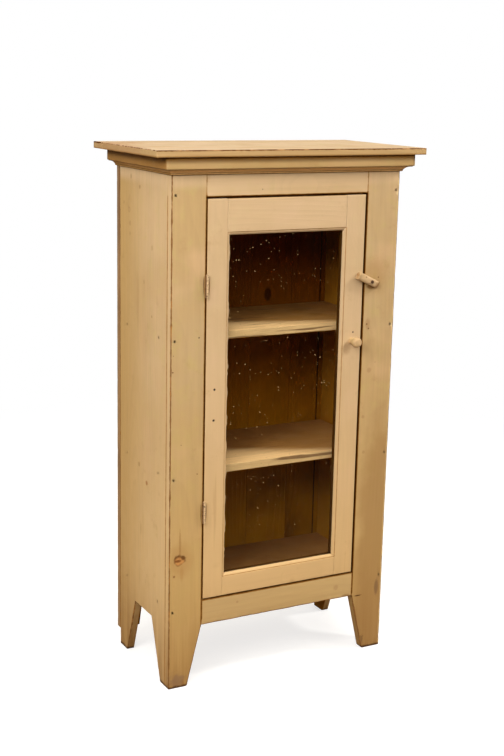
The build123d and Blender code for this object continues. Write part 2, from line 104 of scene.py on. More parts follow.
def tubeFaces(copies, rows, columns):
    # quads between each ring and the next, column closing on the first, for every copy
    copy = np.arange(copies)[:, None, None] * rows * columns
    row = np.arange(rows - 1)[None, :, None] * columns
    column = np.arange(columns)[None, None, :]
    first = copy + row + column
    second = copy + row + (column + 1) % columns
    return np.stack([first, second, second + columns, first + columns], -1)


def addObject(name, data):
    thing = bpy.data.objects.new(name, data)
    bpy.context.scene.collection.objects.link(thing)
    return thing


def newAges(points, seed):
    # one colour for each point: wear, dirt, and the piece's own share that shifts its pattern
    ages = np.zeros(points.shape)
    ages[..., 2] = (seed * 0.137) % 1
    return ages


def meshPiece(name, rings, ages, materials, rowMaterial=None, capSmooth=False):
    # rings: copies x rows x columns x 3. Every copy is a tube of rings with a flat cap at both ends
    rings = np.asarray(rings, float)
    if rings.ndim == 3:
        rings = rings[None]
    copies, rows, columns, _ = rings.shape
    ages = np.broadcast_to(ages, rings.shape[:3] + (3,)).reshape(-1, 3)
    quads = tubeFaces(copies, rows, columns).reshape(-1, 4)
    starts = np.arange(copies) * rows * columns
    lowCaps = starts[:, None] + np.arange(columns)[::-1]
    highCaps = starts[:, None] + (rows - 1) * columns + np.arange(columns)
    points = rings.reshape(-1, 3)
    mesh = bpy.data.meshes.new(name)
    mesh.from_pydata(points.tolist(), [], quads.tolist() + lowCaps.tolist() + highCaps.tolist())
    for material in materials:
        mesh.materials.append(material)
    slots = np.zeros(len(mesh.polygons), np.int32)
    if rowMaterial is not None:
        perRow = np.repeat(np.asarray(rowMaterial, np.int32), columns)
        slots[: len(quads)] = np.tile(perRow, copies)
        slots[len(quads):len(quads) + copies] = rowMaterial[0]
        slots[len(quads) + copies:] = rowMaterial[-1]
    mesh.polygons.foreach_set("material_index", slots)
    smooth = np.ones(len(mesh.polygons), bool)
    smooth[len(quads):] = capSmooth
    mesh.polygons.foreach_set("use_smooth", smooth)
    age = mesh.attributes.new("age", "FLOAT_COLOR", "POINT")
    age.data.foreach_set("color", np.hstack([ages, np.ones((len(ages), 1))]).ravel().astype(np.float32))
    heart = mesh.attributes.new("heart", "FLOAT_VECTOR", "POINT")
    heart.data.foreach_set("vector", fromHeart(points, ages[0, 2]).ravel().astype(np.float32))
    work = bmesh.new()
    work.from_mesh(mesh)
    bmesh.ops.remove_doubles(work, verts=work.verts, dist=1e-6)
    bmesh.ops.dissolve_degenerate(work, edges=work.edges, dist=1e-7)
    bmesh.ops.recalc_face_normals(work, faces=work.faces)
    work.to_mesh(mesh)
    work.free()
    return addObject(name, mesh)


def fromHeart(points, share):
    # places measured from the tree's heart, which lies a few centimetres behind the board and off its middle
    size = np.ptp(points, 0)
    draw = np.random.default_rng(int(share * 1e4))
    order = np.argsort(size)
    offset = np.zeros(3)
    offset[order[0]] = draw.choice([-1, 1]) * draw.uniform(0.045, 0.11)
    offset[order[1]] = draw.uniform(-0.35, 0.35) * size[order[1]]
    offset[order[2]] = draw.uniform(-0.5, 0.5)
    return points - (points.max(0) + points.min(0)) / 2 + offset


def place(piece, body, slot, *nodes):
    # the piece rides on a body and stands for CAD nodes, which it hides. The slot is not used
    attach(piece, body)
    if nodes:
        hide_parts(*nodes)
    return piece


def dress(node, material):
    # a CAD node keeps its mesh and gets a material of the scene's
    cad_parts[node].data.materials.clear()
    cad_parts[node].data.materials.append(material)


# outlines

def outlineRing(corners, rounds, inset, step, arcSteps=4):
    # a closed outline set in by inset. At a corner V the set-in edges meet at
    # V + (n0 + n1) / (1 + n0.n1) * inset. A round corner turns about its own centre with radius round - inset
    way = np.roll(corners, -1, 0) - corners
    length = np.hypot(way[:, 0], way[:, 1])
    way = way / length[:, None]
    normal = np.stack([-way[:, 1], way[:, 0]], -1)
    before = np.roll(normal, 1, 0)
    straight = (normal * before).sum(-1)
    turn = before[:, 0] * normal[:, 1] - before[:, 1] * normal[:, 0]
    rounds = np.where(turn > 0, rounds, 0.0)
    mitre = (before + normal) / (1 + straight)[:, None]
    centre = corners + mitre * np.maximum(rounds, inset)[:, None]
    radius = np.maximum(rounds - inset, 0)
    angle = np.arctan2(turn, straight)[:, None] * np.linspace(0, 1, arcSteps + 1)
    spin = np.stack([
        before[:, None, 0] * np.cos(angle) - before[:, None, 1] * np.sin(angle),
        before[:, None, 0] * np.sin(angle) + before[:, None, 1] * np.cos(angle),
    ], -1)
    arcs = centre[:, None] - radius[:, None, None] * spin
    points = []
    edges = []
    for index in range(len(corners)):
        after = (index + 1) % len(corners)
        count = max(1, int(length[index] / step))
        share = (np.arange(1, count + 1) / (count + 1))[:, None]
        points += [arcs[index], arcs[index][-1] * (1 - share) + arcs[after][0] * share]
        edges += [np.full(arcSteps + 1, index), np.full(count, index)]
    return np.vstack(points), np.concatenate(edges)


boardLook = {
    "step": 0.008,              # between points along an edge
    "arris": (0.0004, 0.0021),  # radius of an unworn and of a worn edge
    "insets": (0.014, 0.007, 0.0035),
    "fade": 0.0018,             # how far wear reaches onto a face
    "chip": 0.0022,             # depth of the deepest chips
    "wall": 0.003,              # from an arris to the first ring of the wall
}


def rectangle(x0, y0, x1, y1, wears, rounding):
    # board corners from the low one round, each with the wear of the edge that starts there
    places = (x0, y0), (x1, y0), (x1, y1), (x0, y1)
    return [(*corner, wear, rounding) for corner, wear in zip(places, wears)]


def board(name, corners, axes, outer, inner, materials, seed, innerWear=0.2):
    # Outline carried through its thickness: rings set in on the outer face, a quarter round of radius r
    # at the arris, straight wall, a second quarter round, rings on the inner face. r wanders along the edge.
    # corners: (a, b, wear of the edge that starts here, round of the corner). A dirty edge has wear under 0
    corners = np.asarray(corners, float)
    area = (corners[:, 0] * np.roll(corners[:, 1], -1) - np.roll(corners[:, 0], -1) * corners[:, 1]).sum()
    if area < 0:
        corners = np.column_stack([corners[::-1, :2], np.roll(corners[::-1, 2], -1), corners[::-1, 3]])
    flat, rounds = corners[:, :2], corners[:, 3]
    step = boardLook["step"]
    outline, edge = outlineRing(flat, rounds, 0.0, step)
    probe = 0.0002
    inward = (outlineRing(flat, rounds, probe, step)[0] - outline) / probe
    gaps = np.hypot(*(np.roll(outline, -1, 0) - outline).T)
    along = np.concatenate([[0], np.cumsum(gaps)[:-1]])
    length = gaps.sum()
    wear = np.maximum(corners[edge, 2], 0)
    dirt = np.maximum(-corners[edge, 2], 0)
    kernel = np.ones(3) / 3
    wear = np.convolve(np.concatenate([wear[-1:], wear, wear[:1]]), kernel, "valid")
    low, high = boardLook["arris"]
    chip = np.clip(waver(along, length, seed + 50, 0.035) - 0.75, 0, 1) * 2 * boardLook["chip"] * wear
    radius = low + (high - low) * wear * (0.8 + 0.4 * waver(along, length, seed, 0.09)) + chip
    innerRadius = low + (high - low) * innerWear * (0.8 + 0.4 * waver(along, length, seed + 1, 0.07))
    cap = np.maximum(np.where(np.roll(edge, 4) != edge, 0.9 * rounds[edge], 0.0032), 0.0003)
    radius = np.clip(radius, 0.0003, cap)
    innerRadius = np.clip(innerRadius, 0.0003, cap)
    out = np.sign(outer - inner)
    turns = np.linspace(0, pi / 2, 5)
    narrow = np.ptp(flat, 0).min()
    insets = [min(inset, 0.3 * narrow) for inset in boardLook["insets"]]
    rows = [(np.full(len(outline), inset), outer, inset) for inset in insets]
    rows += [(radius * (1 - sin(t)), outer - out * radius * (1 - cos(t)), 0.0) for t in turns]
    wall = boardLook["wall"]
    rows += [(0.0 * radius, outer - out * (radius + wall), wall)]
    rows += [(0.0 * radius, (outer + inner) / 2, 3 * wall)]
    rows += [(0.0 * radius, inner + out * (innerRadius + wall), wall)]
    turns = turns[::-1]
    rows += [(innerRadius * (1 - sin(t)), inner + out * innerRadius * (1 - cos(t)), 0.0) for t in turns]
    rows += [(np.full(len(outline), inset), inner, inset) for inset in insets[::-1]]
    middleRow = len(insets) + len(turns) + 1
    points = np.zeros((len(rows), len(outline), 3))
    ages = newAges(points, seed)
    for index, (inset, height, away) in enumerate(rows):
        if away > 0 and np.ptp(inset) == 0 and inset[0] > 0:
            ring = outlineRing(flat, rounds, inset[0], step)[0]
        else:
            ring = outline + inward * np.asarray(inset)[:, None]
        points[index, :, axes[0]] = ring[:, 0]
        points[index, :, axes[1]] = ring[:, 1]
        points[index, :, axes[2]] = height
        worn = wear + 120 * chip if index < middleRow else np.full(len(outline), innerWear)
        ages[index, :, 0] = np.clip(worn, 0, 1.4) * np.exp(-away / boardLook["fade"])
        ages[index, :, 1] = np.clip(1 - 1.6 * worn, 0, 1) * np.exp(-away / boardLook["fade"])
        if len(insets) <= index < len(rows) - len(insets):
            ages[index, :, 1] = np.maximum(ages[index, :, 1], 1.5 * dirt)
            ages[index, :, 0] *= dirt == 0
    lastPaint = len(rows) - len(insets) - len(turns)
    rowMaterial = [0 if index < lastPaint else len(materials) - 1 for index in range(len(rows) - 1)]
    return meshPiece(name, points, ages, materials, rowMaterial)


def run(name, profile, edges, startAt, startOut, endAt, endOut, material, seed, stations, wobble):
    # Profile (out, up) carried along a straight level way. Its start is startAt + startOut * out and its
    # end endAt + endOut * out, so that a start or end that leans makes a mitre
    profile = np.asarray(profile, float)
    share = np.linspace(0, 1, stations)[:, None, None]
    start = np.asarray(startAt, float) + np.asarray(startOut, float) * profile[:, :1]
    end = np.asarray(endAt, float) + np.asarray(endOut, float) * profile[:, :1]
    points = start[None] * (1 - share) + end[None] * share
    points = points + np.array([0.0, 0.0, 1.0]) * profile[None, :, 1:]
    length = np.linalg.norm(end[0] - start[0])
    shake = waver(share[..., 0] * length + profile[None, :, 0] * 3, length * 1.3, seed, 0.12)
    outward = np.asarray(startOut, float) + np.asarray(endOut, float)
    outward = outward - (end[0] - start[0]) / length * (outward @ (end[0] - start[0]) / length)
    outward = outward / np.linalg.norm(outward)
    points = points - np.abs(shake)[..., None] * wobble * outward
    ages = newAges(points, seed)
    patchy = 1 + 0.5 * waver(share[..., 0] * length, length * 1.1, seed + 3, 0.04)
    ages[..., 0] = np.clip(edges[None] * patchy, 0, 1.3)
    ages[..., 1] = np.clip(-edges, 0, 1.5)[None]
    return meshPiece(name, points, ages, [material])


def turned(name, profile, centre, axis, material, seed, unround, wear, columns=40):
    # Profile (along, radius) turned about a level axis. The radius wanders a little round the rim
    axis = np.asarray(axis, float)
    side = np.cross(axis, (0.0, 0.0, 1.0))
    other = np.cross(axis, side)
    angle = np.linspace(0, 2 * pi, columns, endpoint=False)
    shake = 1 + unround * waver(angle, 2 * pi, seed, 2.0)
    rim = (np.cos(angle) * shake)[:, None] * side + (np.sin(angle) * shake)[:, None] * other
    rings = profile[:, 0][:, None, None] * axis + profile[:, 1][:, None, None] * rim
    ages = newAges(rings, seed)
    ages[..., 0] = wear
    return meshPiece(name, np.asarray(centre) + rings, ages, [material], capSmooth=True)


# node helpers

def newMaterial(name):
    material = bpy.data.materials.new(name)
    material.use_nodes = True
    material.node_tree.nodes.clear()
    return material, material.node_tree


def put(tree, kind, sockets=None, **settings):
    node = tree.nodes.new("ShaderNode" + kind)
    for key, value in settings.items():
        setattr(node, key, value)
    for key, value in (sockets or {}).items():
        if isinstance(value, bpy.types.NodeSocket):
            tree.links.new(value, node.inputs[key])
        else:
            node.inputs[key].default_value = value
    return node


def maths(tree, operation, first, second=0.5, third=0.5):
    return put(tree, "Math", {0: first, 1: second, 2: third}, operation=operation).outputs[0]


def vectorMaths(tree, operation, first, second=(0, 0, 0)):
    return put(tree, "VectorMath", {0: first, 1: second}, operation=operation)


def ramp(tree, value, low, high, fromValue=0.0, toValue=1.0):
    # smooth step from one value at low to another at high. low may be the greater
    sockets = {"Value": value, "From Min": low, "From Max": high, "To Min": fromValue, "To Max": toValue}
    return put(tree, "MapRange", sockets, interpolation_type="SMOOTHSTEP").outputs[0]


def mixColour(tree, factor, first, second, how="MIX"):
    node = put(tree, "Mix", {0: factor, 6: first, 7: second}, data_type="RGBA", blend_type=how)
    return node.outputs[2]


def noise(tree, where, scale, detail=3.0, roughness=0.5):
    # soft noise, 0 to 1 about 0.5
    sockets = {"Vector": where, "Scale": scale, "Detail": detail, "Roughness": roughness}
    return put(tree, "TexNoise", sockets).outputs["Fac"]


def rgb(red, green, blue):
    # a colour socket's value, opaque
    return (red, green, blue, 1.0)


def blotches(tree, where, scale, detail, roughness, low, high, most=1.0):
    # share of a coat: 0 where the noise is under low, and most where it is over high
    return ramp(tree, noise(tree, where, scale, detail, roughness), low, high, 0.0, most)


def toward(tree, share, tone, look, name):
    # tone * (1 - share) + the look's colour * share
    return mixColour(tree, share, tone, rgb(*look[name]))


def centred(tree, value, gain, base):
    # base + gain * (value - 0.5)
    return maths(tree, "MULTIPLY_ADD", maths(tree, "SUBTRACT", value, 0.5), gain, base)


def axisOf(tree, where, axis):
    # one coordinate of a place
    return put(tree, "SeparateXYZ", {0: where}).outputs["xyz".index(axis)]


def stretched(tree, where, grain, share):
    # a pattern drawn out along the grain
    squeeze = [share if axis == grain else 1.0 for axis in "xyz"]
    return put(tree, "Mapping", {"Vector": where, "Scale": squeeze}).outputs[0]


def surface(tree, sockets):
    # a principled surface as the whole material
    put(tree, "OutputMaterial", {0: put(tree, "BsdfPrincipled", sockets).outputs[0]})


def coordinates(tree, grain):
    # object coordinates; the same shifted from board to board; the same again squeezed along the grain
    own = put(tree, "TexCoord").outputs["Object"]
    age = put(tree, "Attribute", attribute_name="age")
    parts = put(tree, "SeparateColor", {"Color": age.outputs["Color"]})
    shifts = {i: maths(tree, "MULTIPLY", parts.outputs[2], 5.0 + 3 * i) for i in range(3)}
    moved = vectorMaths(tree, "ADD", own, put(tree, "CombineXYZ", shifts).outputs[0]).outputs[0]
    long = stretched(tree, moved, grain, 0.05)
    return own, moved, long, parts.outputs[0], parts.outputs[1]      # the last two are wear and dirt


def knots(tree, moved, grain, share):
    # sparse knots: distance to the middle of a cell, in a share of the cells of a net drawn out along the
    # grain. In all other cells 1 is added, which is far from any knot
    scale = 4.2
    cells = put(tree, "TexVoronoi", {"Vector": stretched(tree, moved, grain, 0.6), "Scale": scale})
    rare = put(tree, "SeparateColor", {0: cells.outputs["Color"]})
    kept = maths(tree, "GREATER_THAN", rare.outputs[0], 1 - share)
    far = maths(tree, "DIVIDE", cells.outputs["Distance"], scale)
    return maths(tree, "ADD", far, maths(tree, "SUBTRACT", 1.0, kept))


def growthRings(tree, moved, grain, spacing, knotFar):
    # distance from the heart, bent by slow noise and by knots. Each ring darkens slowly and ends sharply
    heart = put(tree, "Attribute", attribute_name="heart").outputs["Vector"]
    xyz = put(tree, "SeparateXYZ", {0: heart})
    index = "xyz".index(grain)
    across = [axis for axis in range(3) if axis != index]
    wavy = stretched(tree, moved, grain, 0.22)
    bend = maths(tree, "MULTIPLY_ADD", noise(tree, wavy, 4.0, 2.0), 0.09, xyz.outputs[across[0]])
    sway = maths(tree, "MULTIPLY_ADD", noise(tree, wavy, 7.0, 3.0), 0.05, xyz.outputs[across[1]])
    flat = put(tree, "CombineXYZ", {0: bend, 1: sway})
    reach = vectorMaths(tree, "LENGTH", flat.outputs[0]).outputs["Value"]
    reach = maths(tree, "MULTIPLY_ADD", xyz.outputs[index], 0.02, reach)
    reach = maths(tree, "ADD", reach, ramp(tree, knotFar, 0.06, 0.004, 0.0, 0.02))
    ring = maths(tree, "FRACT", maths(tree, "DIVIDE", reach, spacing))
    dark = ramp(tree, ring, 0.3, 0.9)
    return maths(tree, "MULTIPLY", dark, ramp(tree, ring, 1.0, 0.93))


def spot(tree, own, mark, base, bump):
    # a round or oval mark about a point. Its reach is 1 within 0.85 of its size and falls to 0 at soft times
    # its size, both counted after noise has pushed its rim about
    shift = vectorMaths(tree, "SUBTRACT", own, mark["at"]).outputs[0]
    squeezed = vectorMaths(tree, "MULTIPLY", shift, mark.get("squeeze", (1, 1, 1))).outputs[0]
    far = vectorMaths(tree, "LENGTH", squeezed).outputs["Value"]
    rough = noise(tree, own, mark.get("ragged", 1.2) / mark["size"], 3.0)
    far = maths(tree, "MULTIPLY_ADD", rough, mark["size"] * mark.get("uneven", 0.7), far)
    reach = ramp(tree, far, mark["size"] * mark.get("soft", 1.4), mark["size"] * 0.85)
    strength = maths(tree, "MULTIPLY", reach, mark.get("strength", 1.0))
    colour = rgb(*mark["colour"])
    if mark.get("rings"):
        waves = maths(tree, "SINE", maths(tree, "MULTIPLY", far, 2 * pi * mark["rings"] / mark["size"]))
        colour = mixColour(tree, ramp(tree, waves, -0.6, 0.9), rgb(*mark["ringColour"]), colour)
    bump = maths(tree, "MULTIPLY_ADD", reach, -mark.get("dent", 0.3), bump)
    return mixColour(tree, strength, base, colour), bump


def shaded(tree, tone, shade):
    # tone * shade, channel by channel
    grey = put(tree, "CombineColor", {i: shade for i in range(3)}).outputs[0]
    return mixColour(tree, 1.0, tone, grey, "MULTIPLY")


# paint

cornicePart = topLow[2] - fasciaTall   # lower edge of the fascia; below it the cove and bead take a painted light
casePaint = {
    "colour": (0.512, 0.360, 0.190),
    "shade": (0.490, 0.328, 0.152),    # where it has gone browner
    "mottle": (0.500, 0.375, 0.150),   # yellower patches
    "blush": (0.610, 0.395, 0.215),
    "aged": (0.535, 0.345, 0.122),     # the lower half has yellowed
    "low": (0.280, 0.135, 0.034),      # toward the floor
    "grime": (0.060, 0.017, 0.001),
    "halo": (0.330, 0.140, 0.018),     # stain beside a joint
    "fresh": (0.690, 0.490, 0.280),    # painted light: a lighter band under the cornice, in place of its shade
    "freshReach": (caseHigh - 0.080, caseHigh - 0.055),
    "worn": (0.215, 0.105, 0.036),     # dirty wood on a rubbed edge
    "bare": (0.360, 0.170, 0.050),     # cleaner wood in a chip
    "knot": (0.34, 0.18, 0.065),       # knots that show through
    "rough": (0.42, 0.58),
    "agedReach": (1.0, 0.05),
    "lowReach": (0.30, -0.02),
    "soilReach": (0.050, 0.004),
    "streak": 0.072,
    "ghost": 0.032,
    "wearGain": 1.0,
    "jointReach": (openHigh + 0.002, openHigh + 0.006),    # joints are fainter above
    "knotShare": 0.35,
    "ringWide": 0.0075,
    "dotScale": 46.0,                  # of a net, one dot in a small share of its cells
    "dotShare": 0.015,
}
nowhere = (2, 3)      # a reach above the cupboard
# the outer faces of the stiles are like the sides
stilePaint = dict(casePaint, flank=(0.640, 0.450, 0.245), flankLow=(0.670, 0.465, 0.225),
                  flankReach=(right - 0.0012, right - 0.0003))
railPaint = dict(casePaint, colour=(0.595, 0.425, 0.245), shade=(0.56, 0.385, 0.205))
railPaint.update(blush=(0.62, 0.43, 0.25), mottle=(0.555, 0.415, 0.190), aged=(0.560, 0.388, 0.165),
                 ghost=0.03)
# the side paint darkens toward the back of the side: painted shade
sidePaint = dict(casePaint, colour=(0.625, 0.435, 0.235), shade=(0.575, 0.385, 0.190))
sidePaint.update(mottle=(0.590, 0.435, 0.195), aged=(0.685, 0.478, 0.232),
                 backTone=(0.540, 0.345, 0.134), backReach=(-0.06, 0.15))
doorPaint = dict(casePaint, colour=(0.598, 0.420, 0.243), shade=(0.555, 0.388, 0.214))
doorPaint.update(blush=(0.62, 0.43, 0.262), mottle=(0.590, 0.430, 0.235), aged=(0.665, 0.440, 0.196),
                 streak=0.045, ghost=0.018)
topPaint = dict(casePaint, colour=(0.560, 0.415, 0.262), shade=(0.510, 0.365, 0.212))
topPaint.update(blush=(0.62, 0.46, 0.305), mottle=(0.53, 0.415, 0.23), edge=(0.47, 0.305, 0.135),
                worn=(0.105, 0.036, 0.008), bare=(0.40, 0.215, 0.09), rough=(0.5, 0.7),
                streak=0.12, ghost=0.07, jointReach=nowhere, freshReach=nowhere,
                # the low colour on the lower 5 mm of the board's edges is a painted shade under its edge
                edgeReach=(topHigh[2] - 0.0026, topHigh[2] - 0.0008),
                underReach=(topLow[2], topLow[2] + 0.005))
# the cornice paint is a darker copy of the case paint: painted shade under the top's overhang. Its edge
# colour, given to the cove and bead below the fascia, is a painted light, and a band at the top of the fascia
# is darkened toward the grime colour: painted shadow of the top board
cornicePaint = dict(casePaint, colour=(0.470, 0.305, 0.132), shade=(0.43, 0.27, 0.105))
cornicePaint.update(blush=(0.49, 0.31, 0.14), mottle=(0.45, 0.31, 0.125), aged=(0.42, 0.26, 0.09),
                    edge=(0.78, 0.48, 0.20), edgeReach=(cornicePart - 0.002, cornicePart),
                    underReach=(0, 0.001), sootReach=(topLow[2] - 0.018, topLow[2] - 0.003),
                    jointReach=nowhere, freshReach=nowhere)
# the returns are darker still: more painted shade, under the top's wider overhang at the ends
returnPaint = dict(cornicePaint, colour=(0.375, 0.195, 0.060), shade=(0.34, 0.17, 0.045))
returnPaint.update(edge=(0.56, 0.32, 0.11), blush=(0.385, 0.20, 0.06), mottle=(0.37, 0.205, 0.058))
stickPaint = dict(casePaint, colour=(0.57, 0.40, 0.22), shade=(0.48, 0.315, 0.155))
stickPaint.update(blush=(0.60, 0.41, 0.225), streak=0.16)

ghostKnot = {"colour": (0.34, 0.185, 0.065), "strength": 0.38, "size": 0.0060, "dent": 0.25}
pinHole = {"colour": (0.020, 0.006, 0.001), "strength": 1.0, "size": 0.0024, "dent": 0.8}
scuff = {"colour": (0.36, 0.200, 0.080), "strength": 0.34, "ragged": 5.0, "dent": 0.35}
# painted shadow that a hinge barrel casts on the stile beside it
hingeShadow = {"colour": (0.110, 0.038, 0.006), "strength": 0.22, "size": 0.0046, "squeeze": (1, 1, 0.165),
             "dent": 0.0, "ragged": 0.7}
# thin dark outline of a leaf under the paint
hingeLine = dict(hingeShadow, size=0.0012, squeeze=(1, 1, 0.052), strength=0.70, ragged=0.5, uneven=0.5)
doorHingeLine = dict(hingeLine, size=0.0015, squeeze=(1, 1, 0.064), strength=0.85)
frontLip = {"at": (0.0, topLow[1], topHigh[2] - 0.001), "squeeze": (0, 1, 1), "dent": 0.3}
paleChip = {"colour": (0.84, 0.68, 0.38), "size": 0.006, "strength": 0.5, "ragged": 2.0, "dent": 0.35}
knotX, knotZ = -0.2780, 0.3290


def onFront(base, x, z, **more):
    # a mark on the front plane
    return dict(base, at=(x, front, z), **more)


def onSide(y, z, **more):
    # a painted-over knot on the left side
    return dict(ghostKnot, at=(left, y, z), **more)


caseMarks = (
    # the knot on the left stile: halo, dark rim, orange middle, crack and stains
    onFront({}, knotX + 0.002, knotZ - 0.002, size=0.034, colour=(0.43, 0.240, 0.080), strength=0.50,
            soft=1.6, squeeze=(1, 1, 0.8)),
    onFront({}, knotX, knotZ, size=0.0238, colour=(0.120, 0.036, 0.005), strength=0.92, dent=0.6, soft=1.15,
            uneven=0.9, squeeze=(0.95, 1, 1.1)),
    onFront({}, knotX - 0.001, knotZ - 0.001, size=0.0150, colour=(0.56, 0.270, 0.080), strength=0.92,
            squeeze=(0.9, 1, 1.25), soft=1.3),
    onFront({}, knotX - 0.004, knotZ - 0.001, size=0.0062, colour=(0.16, 0.045, 0.006), strength=0.85,
            squeeze=(0.6, 1, 1.4)),
    onFront({}, knotX + 0.0095, knotZ + 0.006, size=0.0070, colour=(0.13, 0.045, 0.008), strength=0.85),
    onFront({}, knotX + 0.001, knotZ + 0.036, size=0.0036, colour=(0.27, 0.120, 0.030), strength=0.45,
            squeeze=(1, 1, 0.07), dent=0.1),
    onFront({}, knotX + 0.006, knotZ - 0.034, size=0.0080, colour=(0.40, 0.205, 0.06), strength=0.40,
            squeeze=(1.3, 1, 0.35), dent=0.1),
    onFront(pinHole, -0.2919, 0.2901, colour=(0.20, 0.075, 0.018), size=0.0036, strength=0.8),
    onFront(pinHole, -0.2333, 0.8680, strength=0.8),
    onFront(pinHole, -0.2994, 0.7910, colour=(0.18, 0.07, 0.02)),
    onFront(pinHole, -0.2342, 0.5395, colour=(0.18, 0.07, 0.02), strength=0.7),
    # painted shadow of the hinge barrels on the stile, and the dark outlines of their leaves
    *(onFront(hingeShadow, openLeft - 0.0015, height) for height in hingeHeights),
    *(onFront(hingeLine, openLeft - 0.0052, height) for height in hingeHeights),
    # round the button and down the right stile
    onFront(scuff, 0.241, 0.991, size=0.032, soft=2.2, strength=0.55, colour=(0.40, 0.235, 0.09),
            ragged=6.0),
    onFront(pinHole, 0.2550, 0.9830, colour=(0.14, 0.05, 0.010), strength=0.8),
    onFront(pinHole, 0.2575, 0.9690, colour=(0.16, 0.06, 0.012), strength=0.7),
    # painted shadow under the turn button
    onFront({}, 0.236, 0.9615, size=0.0085, squeeze=(0.5, 1, 1.1), colour=(0.20, 0.080, 0.014),
            strength=0.7, dent=0.0),
    onFront({}, -0.284, 0.020, size=0.026, squeeze=(0.8, 1, 0.9), colour=(0.215, 0.125, 0.075),
            strength=0.6, ragged=2.5, uneven=1.1, dent=0.2),
    onFront(scuff, 0.229, 0.868, size=0.012, squeeze=(1.4, 1, 0.7), strength=0.5),
    onFront(pinHole, 0.2267, 0.8677, colour=(0.12, 0.045, 0.012)),
    onFront(pinHole, 0.2320, 0.8560, colour=(0.12, 0.045, 0.012)),
    onFront(scuff, 0.239, 0.750, size=0.008, strength=0.45),
    onFront(scuff, 0.2265, 0.631, size=0.0055, strength=0.5),
    onFront(scuff, 0.2325, 0.538, size=0.0055, strength=0.5),
    onFront(scuff, 0.285, 0.24, size=0.080, squeeze=(1, 1, 0.17), colour=(0.33, 0.180, 0.060),
            strength=0.62, ragged=1.4),
    onFront(scuff, 0.2895, 0.165, size=0.008, squeeze=(1, 1, 0.3), colour=(0.16, 0.085, 0.045),
            strength=0.6),
    onFront(pinHole, 0.2330, 0.1505, squeeze=(0.22, 1, 1.3), size=0.0030, colour=(0.09, 0.03, 0.006)),
    onFront(scuff, 0.250, 0.026, size=0.013, squeeze=(1.3, 1, 0.6), colour=(0.10, 0.045, 0.018),
            strength=0.5, ragged=3.0, uneven=1.3),
    # light caught on the outer arris, and chips in it
    onFront({}, 0.3030, 0.9, size=0.0024, colour=(0.82, 0.62, 0.30), strength=0.6, squeeze=(1, 1, 0),
            ragged=0.1, dent=0.0),
    onFront(paleChip, 0.3015, 1.188),
    onFront(paleChip, 0.3015, 0.861),
)
railMarks = (
    onFront(scuff, -0.120, 0.196, size=0.004, strength=0.5),
    onFront(scuff, 0.196, 0.1545, size=0.010, squeeze=(0.6, 1, 1.2), strength=0.6,
            colour=(0.22, 0.10, 0.03)),
    onFront(scuff, 0.165, 0.1840, size=0.009, strength=0.4),
    onFront(scuff, 0.030, 0.1500, size=0.006, squeeze=(0.3, 1, 1), strength=0.5, colour=(0.22, 0.10, 0.03)),
    onFront(scuff, 0.105, 0.1500, size=0.005, squeeze=(0.3, 1, 1), strength=0.6, colour=(0.20, 0.09, 0.03)),
    onFront(pinHole, -0.075, 1.2050, size=0.0020, strength=0.5),
)
topMarks = (
    dict(at=(topLow[0], 0.03, topHigh[2]), size=0.040, squeeze=(1, 0.22, 1), colour=(0.40, 0.225, 0.105),
         strength=0.55, ragged=1.2, dent=0.1),
    dict(at=(topLow[0] + 0.05, 0.10, topHigh[2]), size=0.03, squeeze=(0.5, 0.6, 1),
         colour=(0.42, 0.215, 0.09), strength=0.40, dent=0.1),
    dict(at=(-0.28, -0.05, topHigh[2]), size=0.018, squeeze=(0.35, 1, 1), colour=(0.44, 0.245, 0.11),
         strength=0.35, dent=0.1),
    dict(at=(0.05, -0.12, topHigh[2]), size=0.010, squeeze=(0.1, 1, 1), colour=(0.42, 0.22, 0.10),
         strength=0.40, dent=0.1),
    dict(frontLip, size=0.0026, colour=(0.20, 0.075, 0.022), strength=0.65, ragged=0.25),
    dict(frontLip, size=0.0042, colour=(0.11, 0.036, 0.008), strength=0.9, ragged=0.12, uneven=2.0),
)
sideMarks = (
    onSide(0.078, 1.2215, squeeze=(1, 1.2, 0.8), strength=0.55),
    onSide(0.026, 1.2006, strength=0.6),
    onSide(0.121, 1.156),
    onSide(0.090, 1.142, size=0.011, rings=1.5, ringColour=(0.52, 0.33, 0.15)),
    onSide(0.084, 1.109, size=0.008),
    onSide(0.084, 1.085),
    onSide(-0.046, 1.0655, size=0.006, squeeze=(1, 1, 0.7)),
    onSide(0.0, 0.979),
    onSide(-0.046, 0.9036, size=0.0040, strength=0.6),
    onSide(0.027, 0.523, size=0.007, strength=0.6),
    onSide(-0.0187, 0.4874, size=0.0078, strength=0.85, colour=(0.36, 0.150, 0.035)),
    onSide(0.015, 0.36, size=0.0030, squeeze=(1, 1, 0.14), strength=0.5),
)
stickMarks = (
    dict(pinHole, at=(0.2110, front - 0.0145, 0.9875), size=0.0028, colour=(0.18, 0.075, 0.018),
         strength=0.7),
    dict(scuff, at=(0.1940, front - 0.008, 0.9890), size=0.010, colour=(0.34, 0.19, 0.07), strength=0.5,
         ragged=2.0),
    dict(scuff, at=(0.2460, front - 0.008, 0.9640), size=0.011, colour=(0.28, 0.13, 0.035), strength=0.7,
         ragged=2.0),
)
doorMarks = (
    *(onFront(doorHingeLine, barrelX + 0.00735, height) for height in hingeHeights),
    onFront(pinHole, -0.1918, 0.7406, size=0.0037),
    onFront(pinHole, -0.1927, 0.6659, size=0.0037),
    onFront(pinHole, 0.1869, 0.8505, size=0.0028),
    onFront(scuff, 0.170, 0.812, size=0.012, squeeze=(0.8, 1, 0.6), strength=0.30),
)

